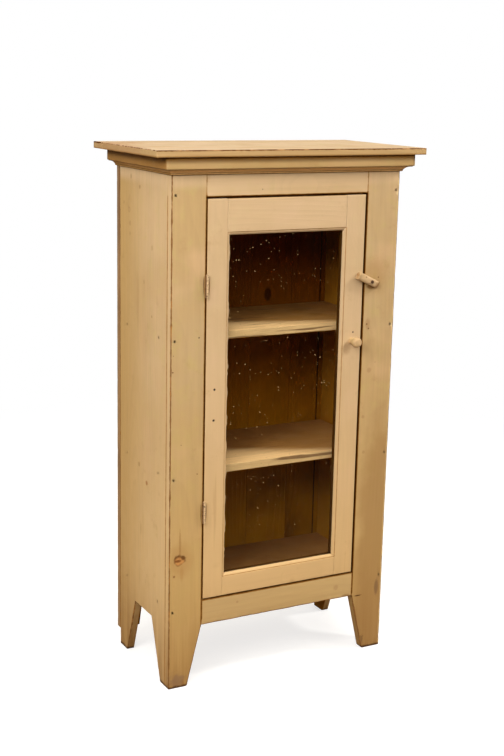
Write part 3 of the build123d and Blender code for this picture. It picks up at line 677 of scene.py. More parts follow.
# coats of colour over all: key; scale, detail and roughness of the noise; where it starts and where it is
# full; the most it gives
paintPatches = (
    ("shade", 3.1, 4.0, 0.6, 0.36, 0.66, 1.0),
    ("blush", 7.3, 3.0, 0.5, 0.5, 0.72, 0.7),
    ("mottle", 26.0, 5.0, 0.62, 0.48, 0.70, 0.55),
)
paintDirt = {"smudge": (15.0, 5.0, 0.68, 0.58, 0.78, 0.30), "drip": (60.0, 2.0, 0.5, 0.66, 0.78, 0.28)}
# scale, detail and roughness of each noise
paintNoise = {
    "streak": (130.0, 4.0, 0.6), "band": (34.0, 4.0, 0.6), "low": (40.0, 4.0, 0.6), "fine": (420.0, 3.0),
    "ragged": (95.0, 4.0, 0.6), "wood": (31.0, 2.0), "rough": (21.0, 4.0),
}
paintRelief = {"streak": 0.6, "fine": 0.25, "ring": 0.30, "knot": 1.2, "dot": -0.5, "worn": -0.9}


def paint(name, look, grain, marks=()):
    # coats mixed one over another: patches, what changes with height, grain that shows through, dirt, marks,
    # the dark line at a joint, and wood where an edge's wear plus noise passes a limit
    material, tree = newMaterial(name)
    own, moved, long, edge, joint = coordinates(tree, grain)
    height = axisOf(tree, own, "z")
    tone = rgb(*look["colour"])
    for key, *pattern in paintPatches:
        tone = toward(tree, blotches(tree, moved, *pattern), tone, look, key)
    tone = toward(tree, ramp(tree, height, *look["agedReach"], 0.0, 0.85), tone, look, "aged")
    # painted shade: darker toward the back of the side
    if "backReach" in look:
        tone = toward(tree, ramp(tree, axisOf(tree, own, "y"), *look["backReach"]), tone, look, "backTone")
    # below edgeReach the edge colour: the top board's browner edges, and on the cornice a painted light over
    # the cove and bead. Below underReach the low colour: on the top board a painted shade along its lower
    # edge
    if "edgeReach" in look:
        tone = mixColour(tree, ramp(tree, height, *look["edgeReach"]), rgb(*look["edge"]), tone)
        tone = mixColour(tree, ramp(tree, height, *look["underReach"]), rgb(*look["low"]), tone)
    # painted shadow: the top of the fascia darkened under the top board's overhang
    if "sootReach" in look:
        tone = toward(tree, ramp(tree, height, *look["sootReach"], 0.0, 0.72), tone, look, "grime")
    # painted light: a lighter band just under the cornice
    tone = toward(tree, ramp(tree, height, *look["freshReach"], 0.0, 0.8), tone, look, "fresh")
    if "flank" in look:
        wide = maths(tree, "ABSOLUTE", axisOf(tree, own, "x"))
        flank = toward(tree, ramp(tree, height, *look["agedReach"]), rgb(*look["flank"]), look, "flankLow")
        tone = mixColour(tree, ramp(tree, wide, *look["flankReach"]), tone, flank)
    streak, band = (noise(tree, long, *paintNoise[key]) for key in ("streak", "band"))
    knotFar = knots(tree, moved, grain, look["knotShare"])
    ring = growthRings(tree, moved, grain, look["ringWide"], knotFar)
    shade = centred(tree, streak, look["streak"] * 2.0, 1.0)
    shade = centred(tree, band, look["streak"] * 2.2, shade)
    tone = shaded(tree, tone, maths(tree, "MULTIPLY_ADD", ring, -look["ghost"], shade))
    knot = ramp(tree, knotFar, 0.008, 0.003, 0.0, 0.28)
    tone = toward(tree, knot, tone, look, "knot")
    patchyLow = ramp(tree, noise(tree, long, *paintNoise["low"]), 0.3, 0.7, 0.35, 0.9)
    low = maths(tree, "MULTIPLY", ramp(tree, height, *look["lowReach"]), patchyLow)
    streakySoil = ramp(tree, streak, 0.4, 0.62, 0.35, 1.0)
    soil = maths(tree, "MULTIPLY", ramp(tree, height, *look["soilReach"]), streakySoil)
    tone = toward(tree, maths(tree, "MAXIMUM", low, soil), tone, look, "low")
    tone = toward(tree, blotches(tree, moved, *paintDirt["smudge"]), tone, look, "low")
    tone = toward(tree, blotches(tree, long, *paintDirt["drip"]), tone, look, "knot")
    fine = noise(tree, own, *paintNoise["fine"])
    bump = maths(tree, "MULTIPLY", fine, paintRelief["fine"])
    bump = maths(tree, "MULTIPLY_ADD", streak, paintRelief["streak"], bump)
    bump = maths(tree, "MULTIPLY_ADD", ring, paintRelief["ring"], bump)
    bump = maths(tree, "MULTIPLY_ADD", knot, paintRelief["knot"], bump)
    # dots in the rare cells of a fine net
    cells = put(tree, "TexVoronoi", {"Vector": moved, "Scale": look["dotScale"]})
    rare = put(tree, "SeparateColor", {0: cells.outputs["Color"]})
    dot = ramp(tree, cells.outputs["Distance"], 0.085, 0.04)
    dot = maths(tree, "MULTIPLY", dot, maths(tree, "GREATER_THAN", rare.outputs[0], 1 - look["dotShare"]))
    tone = toward(tree, maths(tree, "MULTIPLY", dot, 0.55), tone, look, "grime")
    bump = maths(tree, "MULTIPLY_ADD", dot, paintRelief["dot"], bump)
    for mark in marks:
        tone, bump = spot(tree, own, mark, tone, bump)
    ragged = noise(tree, own, *paintNoise["ragged"])
    joint = maths(tree, "MULTIPLY", joint, ramp(tree, height, *look["jointReach"], 1.0, 0.45))
    close = maths(tree, "MULTIPLY_ADD", ragged, 0.5, joint)
    tone = toward(tree, ramp(tree, close, 0.40, 0.80, 0.0, 0.9), tone, look, "halo")
    seam = ramp(tree, close, 0.7, 1.4, 0.0, 0.96)
    tone = toward(tree, seam, tone, look, "grime")
    worn = ramp(tree, maths(tree, "MULTIPLY_ADD", edge, look["wearGain"], ragged), 1.02, 1.16)
    clean = ramp(tree, noise(tree, own, *paintNoise["wood"]), 0.5, 0.68)
    tone = mixColour(tree, worn, tone, toward(tree, clean, rgb(*look["worn"]), look, "bare"))
    sole = centred(tree, band, 0.012, height)
    tone = toward(tree, ramp(tree, sole, 0.009, 0.003, 0.0, 0.9), tone, look, "grime")
    bump = maths(tree, "MULTIPLY_ADD", worn, paintRelief["worn"], bump)
    rough = ramp(tree, noise(tree, moved, *paintNoise["rough"]), 0.3, 0.7, *look["rough"])
    rough = maths(tree, "MULTIPLY_ADD", worn, 0.2, rough)
    normal = put(tree, "Bump", {"Height": bump, "Strength": 0.4, "Distance": 0.0007}).outputs[0]
    sheen = maths(tree, "MULTIPLY_ADD", maths(tree, "MAXIMUM", seam, worn), -0.36, 0.40)
    surface(tree, {"Base Color": tone, "Roughness": rough, "Normal": normal, "Specular IOR Level": sheen})
    return material


# bare wood

innerPine = {
    "early": (0.158, 0.028, 0.001),    # wood of spring and of summer
    "late": (0.132, 0.022, 0.001),
    "lowTone": (0.375, 0.160, 0.004),  # painted light: lighter toward the foot of the opening
    "stain": (0.100, 0.026, 0.002),
    "knot": (0.036, 0.007, 0.001),
    "rough": (0.6, 0.8),
    "sheen": 0.04,
    "fibre": 0.22,
    "knotShare": 0.45,
    "ringWide": 0.0085,
}
wallPine = dict(innerPine, early=(0.42, 0.175, 0.014), late=(0.34, 0.135, 0.010), stain=(0.19, 0.060, 0.005))
wallPine.update(lowTone=(0.42, 0.19, 0.015))
beadPine = dict(innerPine, early=(0.060, 0.022, 0.003), late=(0.05, 0.018, 0.002), stain=(0.03, 0.01, 0.001))
beadPine.update(lowTone=(0.06, 0.024, 0.004))
shelfPine = dict(innerPine, early=(0.41, 0.195, 0.050), late=(0.32, 0.145, 0.034))
shelfPine.update(stain=(0.18, 0.068, 0.014), knot=(0.10, 0.04, 0.014), lowTone=(0.36, 0.170, 0.050))
# the paint's slanting end is a painted light: it reaches further back at the left, like the lit wedge on a
# shelf
shelfPine.update(sheen=0.25, paint=(0.74, 0.475, 0.225), edgePaint=(0.55, 0.37, 0.18), slant=0.40,
                 paintReach=(sideFront + 0.105, sideFront + 0.055),       # bare behind, covered in front
                 edgeReach=(shelfFront + 0.0012, shelfFront + 0.0004),
                 lipReach=(shelfFront + 0.004, shelfFront + 0.001))
rearPine = dict(innerPine, early=(0.38, 0.235, 0.115), late=(0.22, 0.12, 0.052), stain=(0.13, 0.078, 0.04))
rearPine.update(fibre=0.45, knot=(0.07, 0.03, 0.012), lowTone=(0.36, 0.22, 0.105), sheen=0.3)
backMarks = (
    # painted shade: a near-black line down the back beside its inside corner with the right wall
    dict(at=(0.2715, sideBack, 0.7), size=0.0024, squeeze=(1, 0, 0), colour=(0.020, 0.005, 0.001),
         strength=0.9, ragged=0.3, dent=0.2),
)


def bareWood(name, look, grain, marks=()):
    # growth rings and fibre, stains and knots over them, and paint where the look has it
    material, tree = newMaterial(name)
    own, moved, long, edge, joint = coordinates(tree, grain)
    knotFar = knots(tree, moved, grain, look["knotShare"])
    ring = growthRings(tree, moved, grain, look["ringWide"], knotFar)
    fibre = noise(tree, long, 260.0, 3.0, 0.6)
    tone = toward(tree, ring, rgb(*look["early"]), look, "late")
    # toward lowTone at the foot of the opening; on the inside back this is a painted light
    tone = toward(tree, ramp(tree, axisOf(tree, own, "z"), openHigh, openLow), tone, look, "lowTone")
    shade = centred(tree, fibre, look["fibre"], 1.0)
    tone = shaded(tree, tone, shade)
    tone = toward(tree, blotches(tree, moved, 4.0, 4.0, 0.6, 0.42, 0.75, 0.75), tone, look, "stain")
    tone = toward(tree, ramp(tree, knotFar, 0.014, 0.008, 0.0, 0.85), tone, look, "knot")
    bump = maths(tree, "MULTIPLY_ADD", fibre, 0.6, maths(tree, "MULTIPLY", ring, 0.5))
    if "paint" in look:
        # thin paint brushed in from the front edge, its end uneven and chipped near the edge. The end slants,
        # reaching further back at the left: painted light, in the shape of the lit wedge on the shelf
        depth = axisOf(tree, own, "y")
        brushed = centred(tree, noise(tree, long, 30.0, 4.0), 0.05, depth)
        brushed = maths(tree, "MULTIPLY_ADD", axisOf(tree, own, "x"), look["slant"], brushed)
        film = shaded(tree, rgb(*look["paint"]), maths(tree, "MULTIPLY_ADD", ring, -0.10, shade))
        edgeFilm = shaded(tree, rgb(*look["edgePaint"]), shade)
        film = mixColour(tree, ramp(tree, depth, *look["edgeReach"]), film, edgeFilm)
        tone = mixColour(tree, ramp(tree, brushed, *look["paintReach"]), tone, film)
        lip = ramp(tree, depth, *look["lipReach"], 0.0, 0.07)
        chip = ramp(tree, maths(tree, "ADD", noise(tree, long, 75.0, 3.0), lip), 0.64, 0.69, 0.0, 0.75)
        tone = toward(tree, chip, tone, look, "knot")
    for mark in marks:
        tone, bump = spot(tree, own, mark, tone, bump)
    dirt = ramp(tree, maths(tree, "ADD", edge, joint), 0.3, 1.5, 0.0, 0.5)
    tone = toward(tree, dirt, tone, look, "stain")
    rough = ramp(tree, noise(tree, moved, 15.0, 4.0), 0.3, 0.7, *look["rough"])
    normal = put(tree, "Bump", {"Height": bump, "Strength": 0.5, "Distance": 0.0008}).outputs[0]
    sheen = look["sheen"]
    surface(tree, {"Base Color": tone, "Roughness": rough, "Normal": normal, "Specular IOR Level": sheen})
    return material


# iron and glass

ironLook = {
    "iron": (0.10, 0.075, 0.055),
    "rust": (0.16, 0.06, 0.02),
    "rough": (0.45, 0.75),
    "film": (0.64, 0.45, 0.25),                            # worn paint over it
    "dirt": (0.105, 0.038, 0.008),
    "barrelShade": (barrelX - 0.00285, barrelX - 0.00165),      # painted shade, in the dirt colour, on the barrel left of here
    "feet": (leafLow[2], upperLeafLow[2]),
    "pitch": (leafHigh[2] - leafLow[2] + 0.0002) / 5,      # height of a knuckle and the gap above it
}


def iron(name, look, painted):
    # rusty iron, or the same under a worn film of paint
    material, tree = newMaterial(name)
    own = put(tree, "TexCoord").outputs["Object"]
    patch = noise(tree, own, 260.0, 4.0, 0.6)
    tone = toward(tree, ramp(tree, patch, 0.42, 0.62), rgb(*look["iron"]), look, "rust")
    metal = ramp(tree, patch, 0.4, 0.6, 0.7, 0.1)
    if painted:
        gone = blotches(tree, own, 190.0, 4.0, 0.7, 0.56, 0.64)
        tone = mixColour(tree, gone, rgb(*look["film"]), tone)
        metal = maths(tree, "MULTIPLY", metal, gone)
        # painted shade down the barrel's left side, and dirt between knuckles: where the height past the
        # hinge's foot is a whole number of them
        lowFoot, highFoot = look["feet"]
        height = axisOf(tree, own, "z")
        upper = maths(tree, "GREATER_THAN", height, (lowFoot + highFoot) / 2)
        foot = maths(tree, "MULTIPLY_ADD", upper, highFoot - lowFoot, lowFoot)
        count = maths(tree, "DIVIDE", maths(tree, "SUBTRACT", height, foot), look["pitch"])
        past = maths(tree, "FRACT", maths(tree, "ADD", count, 0.5))
        aside = maths(tree, "ABSOLUTE", maths(tree, "SUBTRACT", past, 0.5))
        joint = ramp(tree, aside, 0.10, 0.03, 0.0, 0.50)
        barrelShade = ramp(tree, axisOf(tree, own, "x"), *look["barrelShade"][::-1], 0.0, 0.85)
        tone = toward(tree, maths(tree, "MAXIMUM", joint, barrelShade), tone, look, "dirt")
    rough = ramp(tree, noise(tree, own, 500.0, 3.0), 0.3, 0.7, *look["rough"])
    normal = put(tree, "Bump", {"Height": patch, "Strength": 0.4, "Distance": 0.0003}).outputs[0]
    surface(tree, {"Base Color": tone, "Roughness": rough, "Metallic": metal, "Normal": normal})
    return material


glassLook = {
    "tint": (0.985, 0.99, 0.975), "dust": (0.80, 0.55, 0.28), "haze": 0.0006, "gloss": 0.22, "index": 1.5,
    "crowdShare": 0.14,
    # where specks crowd together: across, up, reach
    "crowds": ((-0.126, 1.083, 0.05), (-0.035, 1.044, 0.05), (-0.022, 0.984, 0.05), (-0.116, 0.74, 0.07),
               (-0.058, 0.502, 0.07), (-0.067, 0.408, 0.06), (0.11, 0.80, 0.05)),
    "ripple": 0.00022,       # how far the pane itself waves
    "slack": 0.0003,         # each face lies this far inside the CAD face
    "across": 48, "up": 90,  # points of the pane
}


def windowGlass(name, look):
    # clear pane: straight-through light, a Fresnel share of gloss where a ray enters, and a film of dust.
    # A speck stands in each cell of a net whose own number is under the crowd there
    material, tree = newMaterial(name)
    own = put(tree, "TexCoord").outputs["Object"]
    clear = put(tree, "BsdfTransparent", {"Color": rgb(*look["tint"])}).outputs[0]
    ripple = noise(tree, own, 7.0, 2.0)
    normal = put(tree, "Bump", {"Height": ripple, "Strength": 0.25, "Distance": 0.002}).outputs[0]
    gloss = put(tree, "BsdfGlossy", {"Color": rgb(1, 1, 1), "Roughness": 0.03, "Normal": normal}).outputs[0]
    fresnel = put(tree, "Fresnel", {"IOR": look["index"], "Normal": normal}).outputs[0]
    facing = maths(tree, "SUBTRACT", 1.0, put(tree, "NewGeometry").outputs["Backfacing"])
    share = maths(tree, "MULTIPLY", maths(tree, "MULTIPLY", fresnel, look["gloss"]), facing)
    behind = put(tree, "MixShader", {0: share, 1: clear, 2: gloss}).outputs[0]
    flat = put(tree, "CombineXYZ", {0: axisOf(tree, own, "x"), 1: axisOf(tree, own, "z")}).outputs[0]
    cells = put(tree, "TexVoronoi", {"Vector": flat, "Scale": 140.0}, voronoi_dimensions="2D")
    parts = put(tree, "SeparateColor", {0: cells.outputs["Color"]})
    size = maths(tree, "MULTIPLY_ADD", maths(tree, "POWER", parts.outputs[1], 4.0), 0.14, 0.13)
    speck = ramp(tree, maths(tree, "DIVIDE", cells.outputs["Distance"], size), 1.0, 0.4)
    crowd = ramp(tree, noise(tree, flat, 6.0, 2.0), 0.4, 0.7, 0.03, 0.08)
    for across, up, reach in look["crowds"]:
        far = vectorMaths(tree, "LENGTH", vectorMaths(tree, "SUBTRACT", flat, (across, up, 0)).outputs[0])
        near = ramp(tree, far.outputs["Value"], reach, 0.0, 0.0, look["crowdShare"])
        crowd = maths(tree, "ADD", crowd, near)
    speck = maths(tree, "MULTIPLY", speck, maths(tree, "LESS_THAN", parts.outputs[0], crowd))
    film = ramp(tree, noise(tree, own, 11.0, 5.0, 0.65), 0.35, 0.8, 0.2 * look["haze"], 2.0 * look["haze"])
    cover = maths(tree, "MULTIPLY_ADD", speck, 0.28, film)
    dust = put(tree, "BsdfDiffuse", {"Color": rgb(*look["dust"])}).outputs[0]
    put(tree, "OutputMaterial", {0: put(tree, "MixShader", {0: cover, 1: behind, 2: dust}).outputs[0]})
    return material


upPaint = paint("casePaintUpright", stilePaint, "z", caseMarks)
besidePaint = paint("casePaintBeside", sidePaint, "z", sideMarks)
acrossPaint = paint("casePaintAcross", railPaint, "x", railMarks)
cornicePaintAcross = paint("cornicePaint", cornicePaint, "x")
deepPaint = paint("cornicePaintDeep", returnPaint, "y")
stickFace = paint("stickPaint", stickPaint, "x", stickMarks)
topFace = paint("topPaint", topPaint, "x", topMarks)
doorUp = paint("doorPaintUpright", doorPaint, "z", doorMarks)
doorAcross = paint("doorPaintAcross", doorPaint, "x")
insideBack = bareWood("insidePine", innerPine, "z", backMarks)
insideWall = bareWood("wallPine", wallPine, "z")
shelfWood = bareWood("shelfPine", shelfPine, "x")
beadWood = bareWood("beadPineAcross", beadPine, "x")
beadUp = bareWood("beadPineUpright", beadPine, "z")
underWood = bareWood("underPine", rearPine, "x")
rearWood = bareWood("rearPine", rearPine, "z")
plainIron = iron("rustyIron", ironLook, False)
paintedIron = iron("paintedIron", ironLook, True)
pane = windowGlass("oldGlass", glassLook)
print("stage: materials made")

# sides and face frame

sideLook = {
    "frontTop": 0.081, "frontToe": 0.027,  # width of the front foot, at its top and at the floor
    "backTop": 0.098, "backToe": 0.045,
    "toeRound": 0.005,
    "arris": 0.001,
}


def sidePiece(name, outer, inner, seed, node):
    # end board, cut away between its two feet
    y0, y1, arris = sideFront, sideBack, sideLook["arris"]
    corners = [
        (y0, 0.0, 0.9, arris),
        (y0 + sideLook["frontToe"], 0.0, 0.7, sideLook["toeRound"]),
        (y0 + sideLook["frontTop"], footHigh, 0.5, arris),
        (y1 - sideLook["backTop"], footHigh, 0.7, arris),
        (y1 - sideLook["backToe"], 0.0, 0.9, sideLook["toeRound"]),
        (y1, 0.0, 0.9, arris),
        (y1, caseHigh, 0.0, arris),
        (y0, caseHigh, 0.30, arris),
    ]
    piece = board(name, corners, (1, 2, 0), outer, inner, [besidePaint, insideWall], seed)
    return place(piece, "case", "painted_pine", node)


sidePiece("leftSide", left, innerLeft, 11, "left_side")
sidePiece("rightSide", right, innerRight, 12, "right_side")

frameLook = {"leftToe": 0.050, "rightToe": 0.054, "toeRound": 0.006, "outerRound": 0.002, "openRound": 0.001,
             "railRound": 0.0008, "railEnd": 0.05}


def stilePiece(name, outerX, openX, toeX, seed, node):
    # upright of the face frame, its foot cut back on a slant from the opening's side
    outerRound, openRound = frameLook["outerRound"], frameLook["openRound"]
    corners = [
        (outerX, 0.0, 1.0, outerRound),
        (toeX, 0.0, 0.9, frameLook["toeRound"]),
        (openX, footHigh, -0.8, openRound),
        (openX, caseHigh, 0.0, openRound),
        (outerX, caseHigh, 0.85, outerRound),
    ]
    piece = board(name, corners, (0, 2, 1), front, sideFront, [upPaint, insideWall], seed)
    return place(piece, "case", "painted_pine", node)


def railPiece(name, low, high, lowWear, highWear, seed, node):
    # cross member between the stiles, its two ends a little worn
    wears = lowWear, frameLook["railEnd"], highWear, frameLook["railEnd"]
    corners = rectangle(openLeft, low, openRight, high, wears, frameLook["railRound"])
    piece = board(name, corners, (0, 2, 1), front, sideFront, [acrossPaint, insideWall], seed)
    return place(piece, "case", "painted_pine", node)


stilePiece("leftStile", left, openLeft, left + frameLook["leftToe"], 21, "left_stile")
stilePiece("rightStile", right, openRight, right - frameLook["rightToe"], 22, "right_stile")
railPiece("topRail", openHigh, caseHigh, -0.8, 0.0, 23, "top_rail")
railPiece("bottomRail", footHigh, openLow, 0.95, -0.6, 24, "bottom_rail")
print("stage: sides and frame")

# top

topLook = {
    "arris": 0.002,
    "under": 0.35,     # wear of the edges underneath
    # wear of the front, right, back and left edges
    "topBoard": (0.72, 0.6, 0.15, 0.6),
    "topBackStrip": (0.15, 0.9, 0.8, 0.95),
}


def topPiece(name, low, high, seed, node):
    # a board of the top, a paint film under its CAD face
    corners = rectangle(*low[:2], *high[:2], topLook[name], topLook["arris"])
    faces = [topFace, underWood]
    piece = board(name, corners, (0, 1, 2), high[2] - paintFilm, low[2], faces, seed, topLook["under"])
    return place(piece, "case", "painted_pine", node)


topPiece("topBoard", topLow, topHigh, 31, "top_board")
topPiece("topBackStrip", stripLow, stripHigh, 32, "top_back_strip")

corniceLook = {"fasciaRound": 0.0025, "bead": (0.005, 0.004), "quirk": 0.0015, "sag": 0.0015,
               "stations": 90, "wobble": 0.0002}


def cornicePiece(name, startAt, startOut, endAt, endOut, material, seed, node):
    # section (out, up): a quarter-round bead at the foot, a cove that sags by sag * sin from the straight
    # line between its ends, a rounded corner, and the square fascia
    low, high = span(node)
    out = front - span("cornice_front")[0][1]
    z0, z1 = low[2], high[2]
    fasciaLow = z1 - fasciaTall
    beadOut, beadHigh = corniceLook["bead"]
    quirk, fasciaRound = corniceLook["quirk"], corniceLook["fasciaRound"]
    turn = np.linspace(0, 1, 9)
    quarter = np.column_stack([np.sin(turn * pi / 2), 1 - np.cos(turn * pi / 2)])
    coveStart = np.array([beadOut + quirk, z0 + beadHigh + quirk])
    coveEnd = np.array([out - fasciaRound - quirk, fasciaLow - quirk])
    cove = coveStart + (coveEnd - coveStart) * turn[:, None]
    cove = cove + np.sin(pi * turn)[:, None] * np.array([-1, 1]) * corniceLook["sag"]
    bead = np.array([beadOut * 0.55, z0]) + quarter * np.array([beadOut * 0.45, beadHigh])
    corner = np.array([out - fasciaRound, fasciaLow]) + fasciaRound * quarter
    face = np.column_stack([np.full(4, out), np.linspace(fasciaLow + 2 * fasciaRound, z1, 4)])
    hidden = np.array([(0.0, z1), (0.0, z0)])
    profile = np.vstack([bead, cove, corner, face, hidden])
    # wear along the section; where it is less than 0, painted shade along the bead's foot and in the two
    # quirks, and dirt at the joints with the top and the case
    edges = np.concatenate([
        np.linspace(-1.3, 0.1, 8), (-1.0,), np.full(8, 0.0), (-1.2, 0.0), np.linspace(0.0, 0.25, 8),
        (0.2, 0.0, -0.3, -0.9), (0.0, -1.3)])
    piece = run(name, profile, edges, startAt, startOut, endAt, endOut, material, seed,
                corniceLook["stations"], corniceLook["wobble"])
    return place(piece, "case", "painted_pine", node)


# a mitre leans out both ways, and a square end one way
cornicePiece("corniceFront", (left, front, 0), (-1, -1, 0), (right, front, 0), (1, -1, 0),
             cornicePaintAcross, 41, "cornice_front")
cornicePiece("corniceLeft", (left, front, 0), (-1, -1, 0), (left, back, 0), (-1, 0, 0),
             deepPaint, 42, "cornice_left")
cornicePiece("corniceRight", (right, back, 0), (1, 0, 0), (right, front, 0), (1, -1, 0),
             deepPaint, 43, "cornice_right")
print("stage: top and cornice")

# shelves and back

shelfLook = {"wears": (0.45, 0.0, 0.0, 0.0), "arris": 0.0008, "under": 0.3}


def shelfPiece(name, node, seed):
    # a shelf ends at the sides: its tongues are hidden in their grooves
    low, high = span(node)
    corners = rectangle(innerLeft, low[1], innerRight, high[1], shelfLook["wears"], shelfLook["arris"])
    faces = [shelfWood, insideWall]
    piece = board(name, corners, (0, 1, 2), high[2], low[2], faces, seed, shelfLook["under"])
    return place(piece, "case", "shelf_pine", node)


shelfPiece("caseFloor", "case_floor", 51)
shelfPiece("lowerShelf", "lower_shelf", 52)
shelfPiece("upperShelf", "upper_shelf", 53)

backLook = {"footWide": 0.054, "footTop": 0.068, "seam": 0.0003, "arris": 0.001, "boards": 5,
            "wears": (0.6, 0.2, 0.2, 0.2)}


def backPiece(index):
    # each seam is closed, so that no light comes through. The outer boards run down as feet
    node = f"back_board_{index}"
    low, high = span(node)
    last, arris = backLook["boards"], backLook["arris"]
    low[0] -= backLook["seam"] if index > 1 else 0
    high[0] += backLook["seam"] if index < last else 0
    corners = rectangle(low[0], low[2], high[0], high[2], backLook["wears"], arris)
    if index in (1, last):
        sign, start, end = (1, low[0], high[0]) if index == 1 else (-1, high[0], low[0])
        corners = [
            (start, low[2], 0.7, arris),
            (start + sign * backLook["footWide"], low[2], 0.5, arris),
            (start + sign * backLook["footTop"], footHigh, 0.5, arris),
            (end, footHigh, 0.2, arris),
            (end, high[2], 0.2, arris),
            (start, high[2], 0.5, arris),
        ]
    faces = [rearWood, insideBack]
    piece = board(f"backBoard{index}", corners, (0, 2, 1), back, sideBack, faces, 60 + index)
    return place(piece, "case", "bare_pine", node)


for boardNumber in range(1, backLook["boards"] + 1):
    backPiece(boardNumber)

cleatLook = {"wears": (0.3, 0.0, 0.0, 0.0), "arris": 0.0008}


def cleatPiece():
    # strip inside that the top and the back boards are nailed to
    low, high = span("top_back_cleat")
    corners = rectangle(low[0], low[2], high[0], high[2], cleatLook["wears"], cleatLook["arris"])
    piece = board("topBackCleat", corners, (0, 2, 1), low[1], high[1], [insideWall], 70)
    return place(piece, "case", "bare_pine", "top_back_cleat")


cleatPiece()
print("stage: shelves and back")

# door

doorLook = {
    "stickingWide": 0.0075, "stickingDeep": 0.0065,   # moulded edge round the pane
    "lipDeep": 0.0075, "rabbetWide": 0.008,
    "quirk": (0.0006, 0.0009),   # small step that starts the moulded edge: across, deep
    "arris": 0.0019,
    "endRound": 0.0014,          # of the stiles' top and foot
    "endWear": 0.5,
    "stileRows": 110, "railRows": 70,
}
hingeLow, hingeHigh = span("door_hinge_stile")
latchLow, latchHigh = span("door_latch_stile")
doorLeft, doorRight = hingeLow[0], latchHigh[0]
doorLow, doorHigh = hingeLow[2], hingeHigh[2]
sightLeft = hingeHigh[0] - doorLook["stickingWide"]
sightRight = latchLow[0] + doorLook["stickingWide"]
sightHigh = span("door_top_rail")[0][2] + doorLook["stickingWide"]
sightLow = span("door_bottom_rail")[1][2] - doorLook["stickingWide"]


def doorProfile(reach):
    # half section of a door member, (out past the sight line, depth): outer arris, face, quirk, ovolo, lip
    # and rabbet. With it the wear at each point; where it is less than 0, dirt on the edges and painted shade
    # in the quirk
    thick = sideFront - front
    wide, deep = doorLook["stickingWide"], doorLook["stickingDeep"]
    rabbet, lip = wide - doorLook["rabbetWide"], doorLook["lipDeep"]
    quirkWide, quirkDeep = doorLook["quirk"]
    arris = doorLook["arris"]
    turn = np.linspace(0, pi / 2, 6)
    frontArris = np.column_stack([-reach + arris * (1 - np.sin(turn)), arris * (1 - np.cos(turn))])[::-1]
    face = np.column_stack([np.linspace(-reach + 3 * arris, -0.0012, 8), np.zeros(8)])
    step = np.array([(-0.0003, 0.0001), (0.0, quirkDeep * 0.6), (quirkWide, quirkDeep)])
    swell = np.linspace(0, pi / 2, 9)[1:]
    ovolo = np.column_stack([
        quirkWide + (wide - quirkWide) * np.sin(swell) ** 1.15,
        quirkDeep + (deep - quirkDeep) * (1 - np.cos(swell)) ** 0.95])
    rear = np.array([
        (wide, lip),
        (rabbet, lip),
        (rabbet, thick - 0.0006),
        (rabbet - 0.0006, thick),
        (-reach + 0.004, thick),
        (-reach + 0.001, thick),
        (-reach, thick - 0.001),
        (-reach, thick - 0.005),
        (-reach, 0.008),
        (-reach, 0.0030),
    ])
    profile = np.vstack([frontArris, face, step, ovolo, rear])
    edges = np.concatenate([
        (-1.2, -1.0, -0.7, -0.4, -0.1, 0.12), (0.05, 0.0), np.zeros(5), (0.1,), (0.1, -0.60, -0.60), (-0.2,),
        np.full(7, 0.05), (0.0,) * 5, (0.25, -0.1, -0.7, -1.5, -1.5)])
    return profile, edges


def doorAges(points, edges, way, length, seed):
    # wear of the section times 1 + 0.5 * waver along the member, and its dirt as it is
    ages = newAges(points, seed)
    patchy = 1 + 0.5 * waver(way, length, seed, 0.05)
    ages[..., 0] = np.clip(np.clip(edges, 0, 1)[None] * patchy, 0, 1.2)
    ages[..., 1] = np.clip(-edges, 0, 1.5)[None]
    return ages


def doorStile(name, edgeX, sightX, inward, seed, node):
    # stile section carried up, cut past the sight line by the mitre planes at both ends. The three rows at
    # each end are drawn in by round * (1 - sin(arccos(1 - t))), which rounds the end
    profile, edges = doorProfile(abs(sightX - edgeX))
    fine, endRound = doorLook["stickingWide"], doorLook["endRound"]
    heights = np.unique(np.round(np.concatenate([
        np.linspace(doorLow + 0.002, doorHigh - 0.002, doorLook["stileRows"]),
        np.linspace(sightLow, sightLow + fine, 7), np.linspace(sightHigh - fine, sightHigh, 7)]), 6))
    limit = np.minimum(heights - sightLow, sightHigh - heights).clip(0, fine)[:, None]
    out = np.minimum(profile[None, :, 0], limit)
    points = np.zeros(out.shape + (3,))
    points[..., 0] = sightX + inward * out
    points[..., 1] = front + profile[None, :, 1]
    points[..., 2] = heights[:, None]
    middle, half = (front + sideFront) / 2, (sideFront - front) / 2
    ends = []
    for edgeZ, sign in ((doorLow, 1), (doorHigh, -1)):
        for turnAt in (0.0, 0.35, 0.7):
            row = points[0 if sign > 0 else -1].copy()
            inset = endRound * (1 - np.sin(np.arccos(1 - turnAt)))
            row[:, 1] = middle + (row[:, 1] - middle) * (1 - inset / half)
            row[:, 0] = np.clip(row[:, 0], min(edgeX, sightX) + (inset if inward > 0 else 0),
                                max(edgeX, sightX) - (inset if inward < 0 else 0))
            row[:, 2] = edgeZ + sign * endRound * turnAt
            ends.append(row)
    points = np.concatenate([np.array(ends[:3]), points, np.array(ends[3:])[::-1]])
    ages = doorAges(points, edges, points[:, :, 2], 1.3, seed)
    for rows in (slice(0, 3), slice(-3, None)):
        ages[rows, :, 0] = np.maximum(ages[rows, :, 0], doorLook["endWear"])
    piece = meshPiece(name, points, ages, [doorUp])
    return place(piece, "door", "painted_door", node)


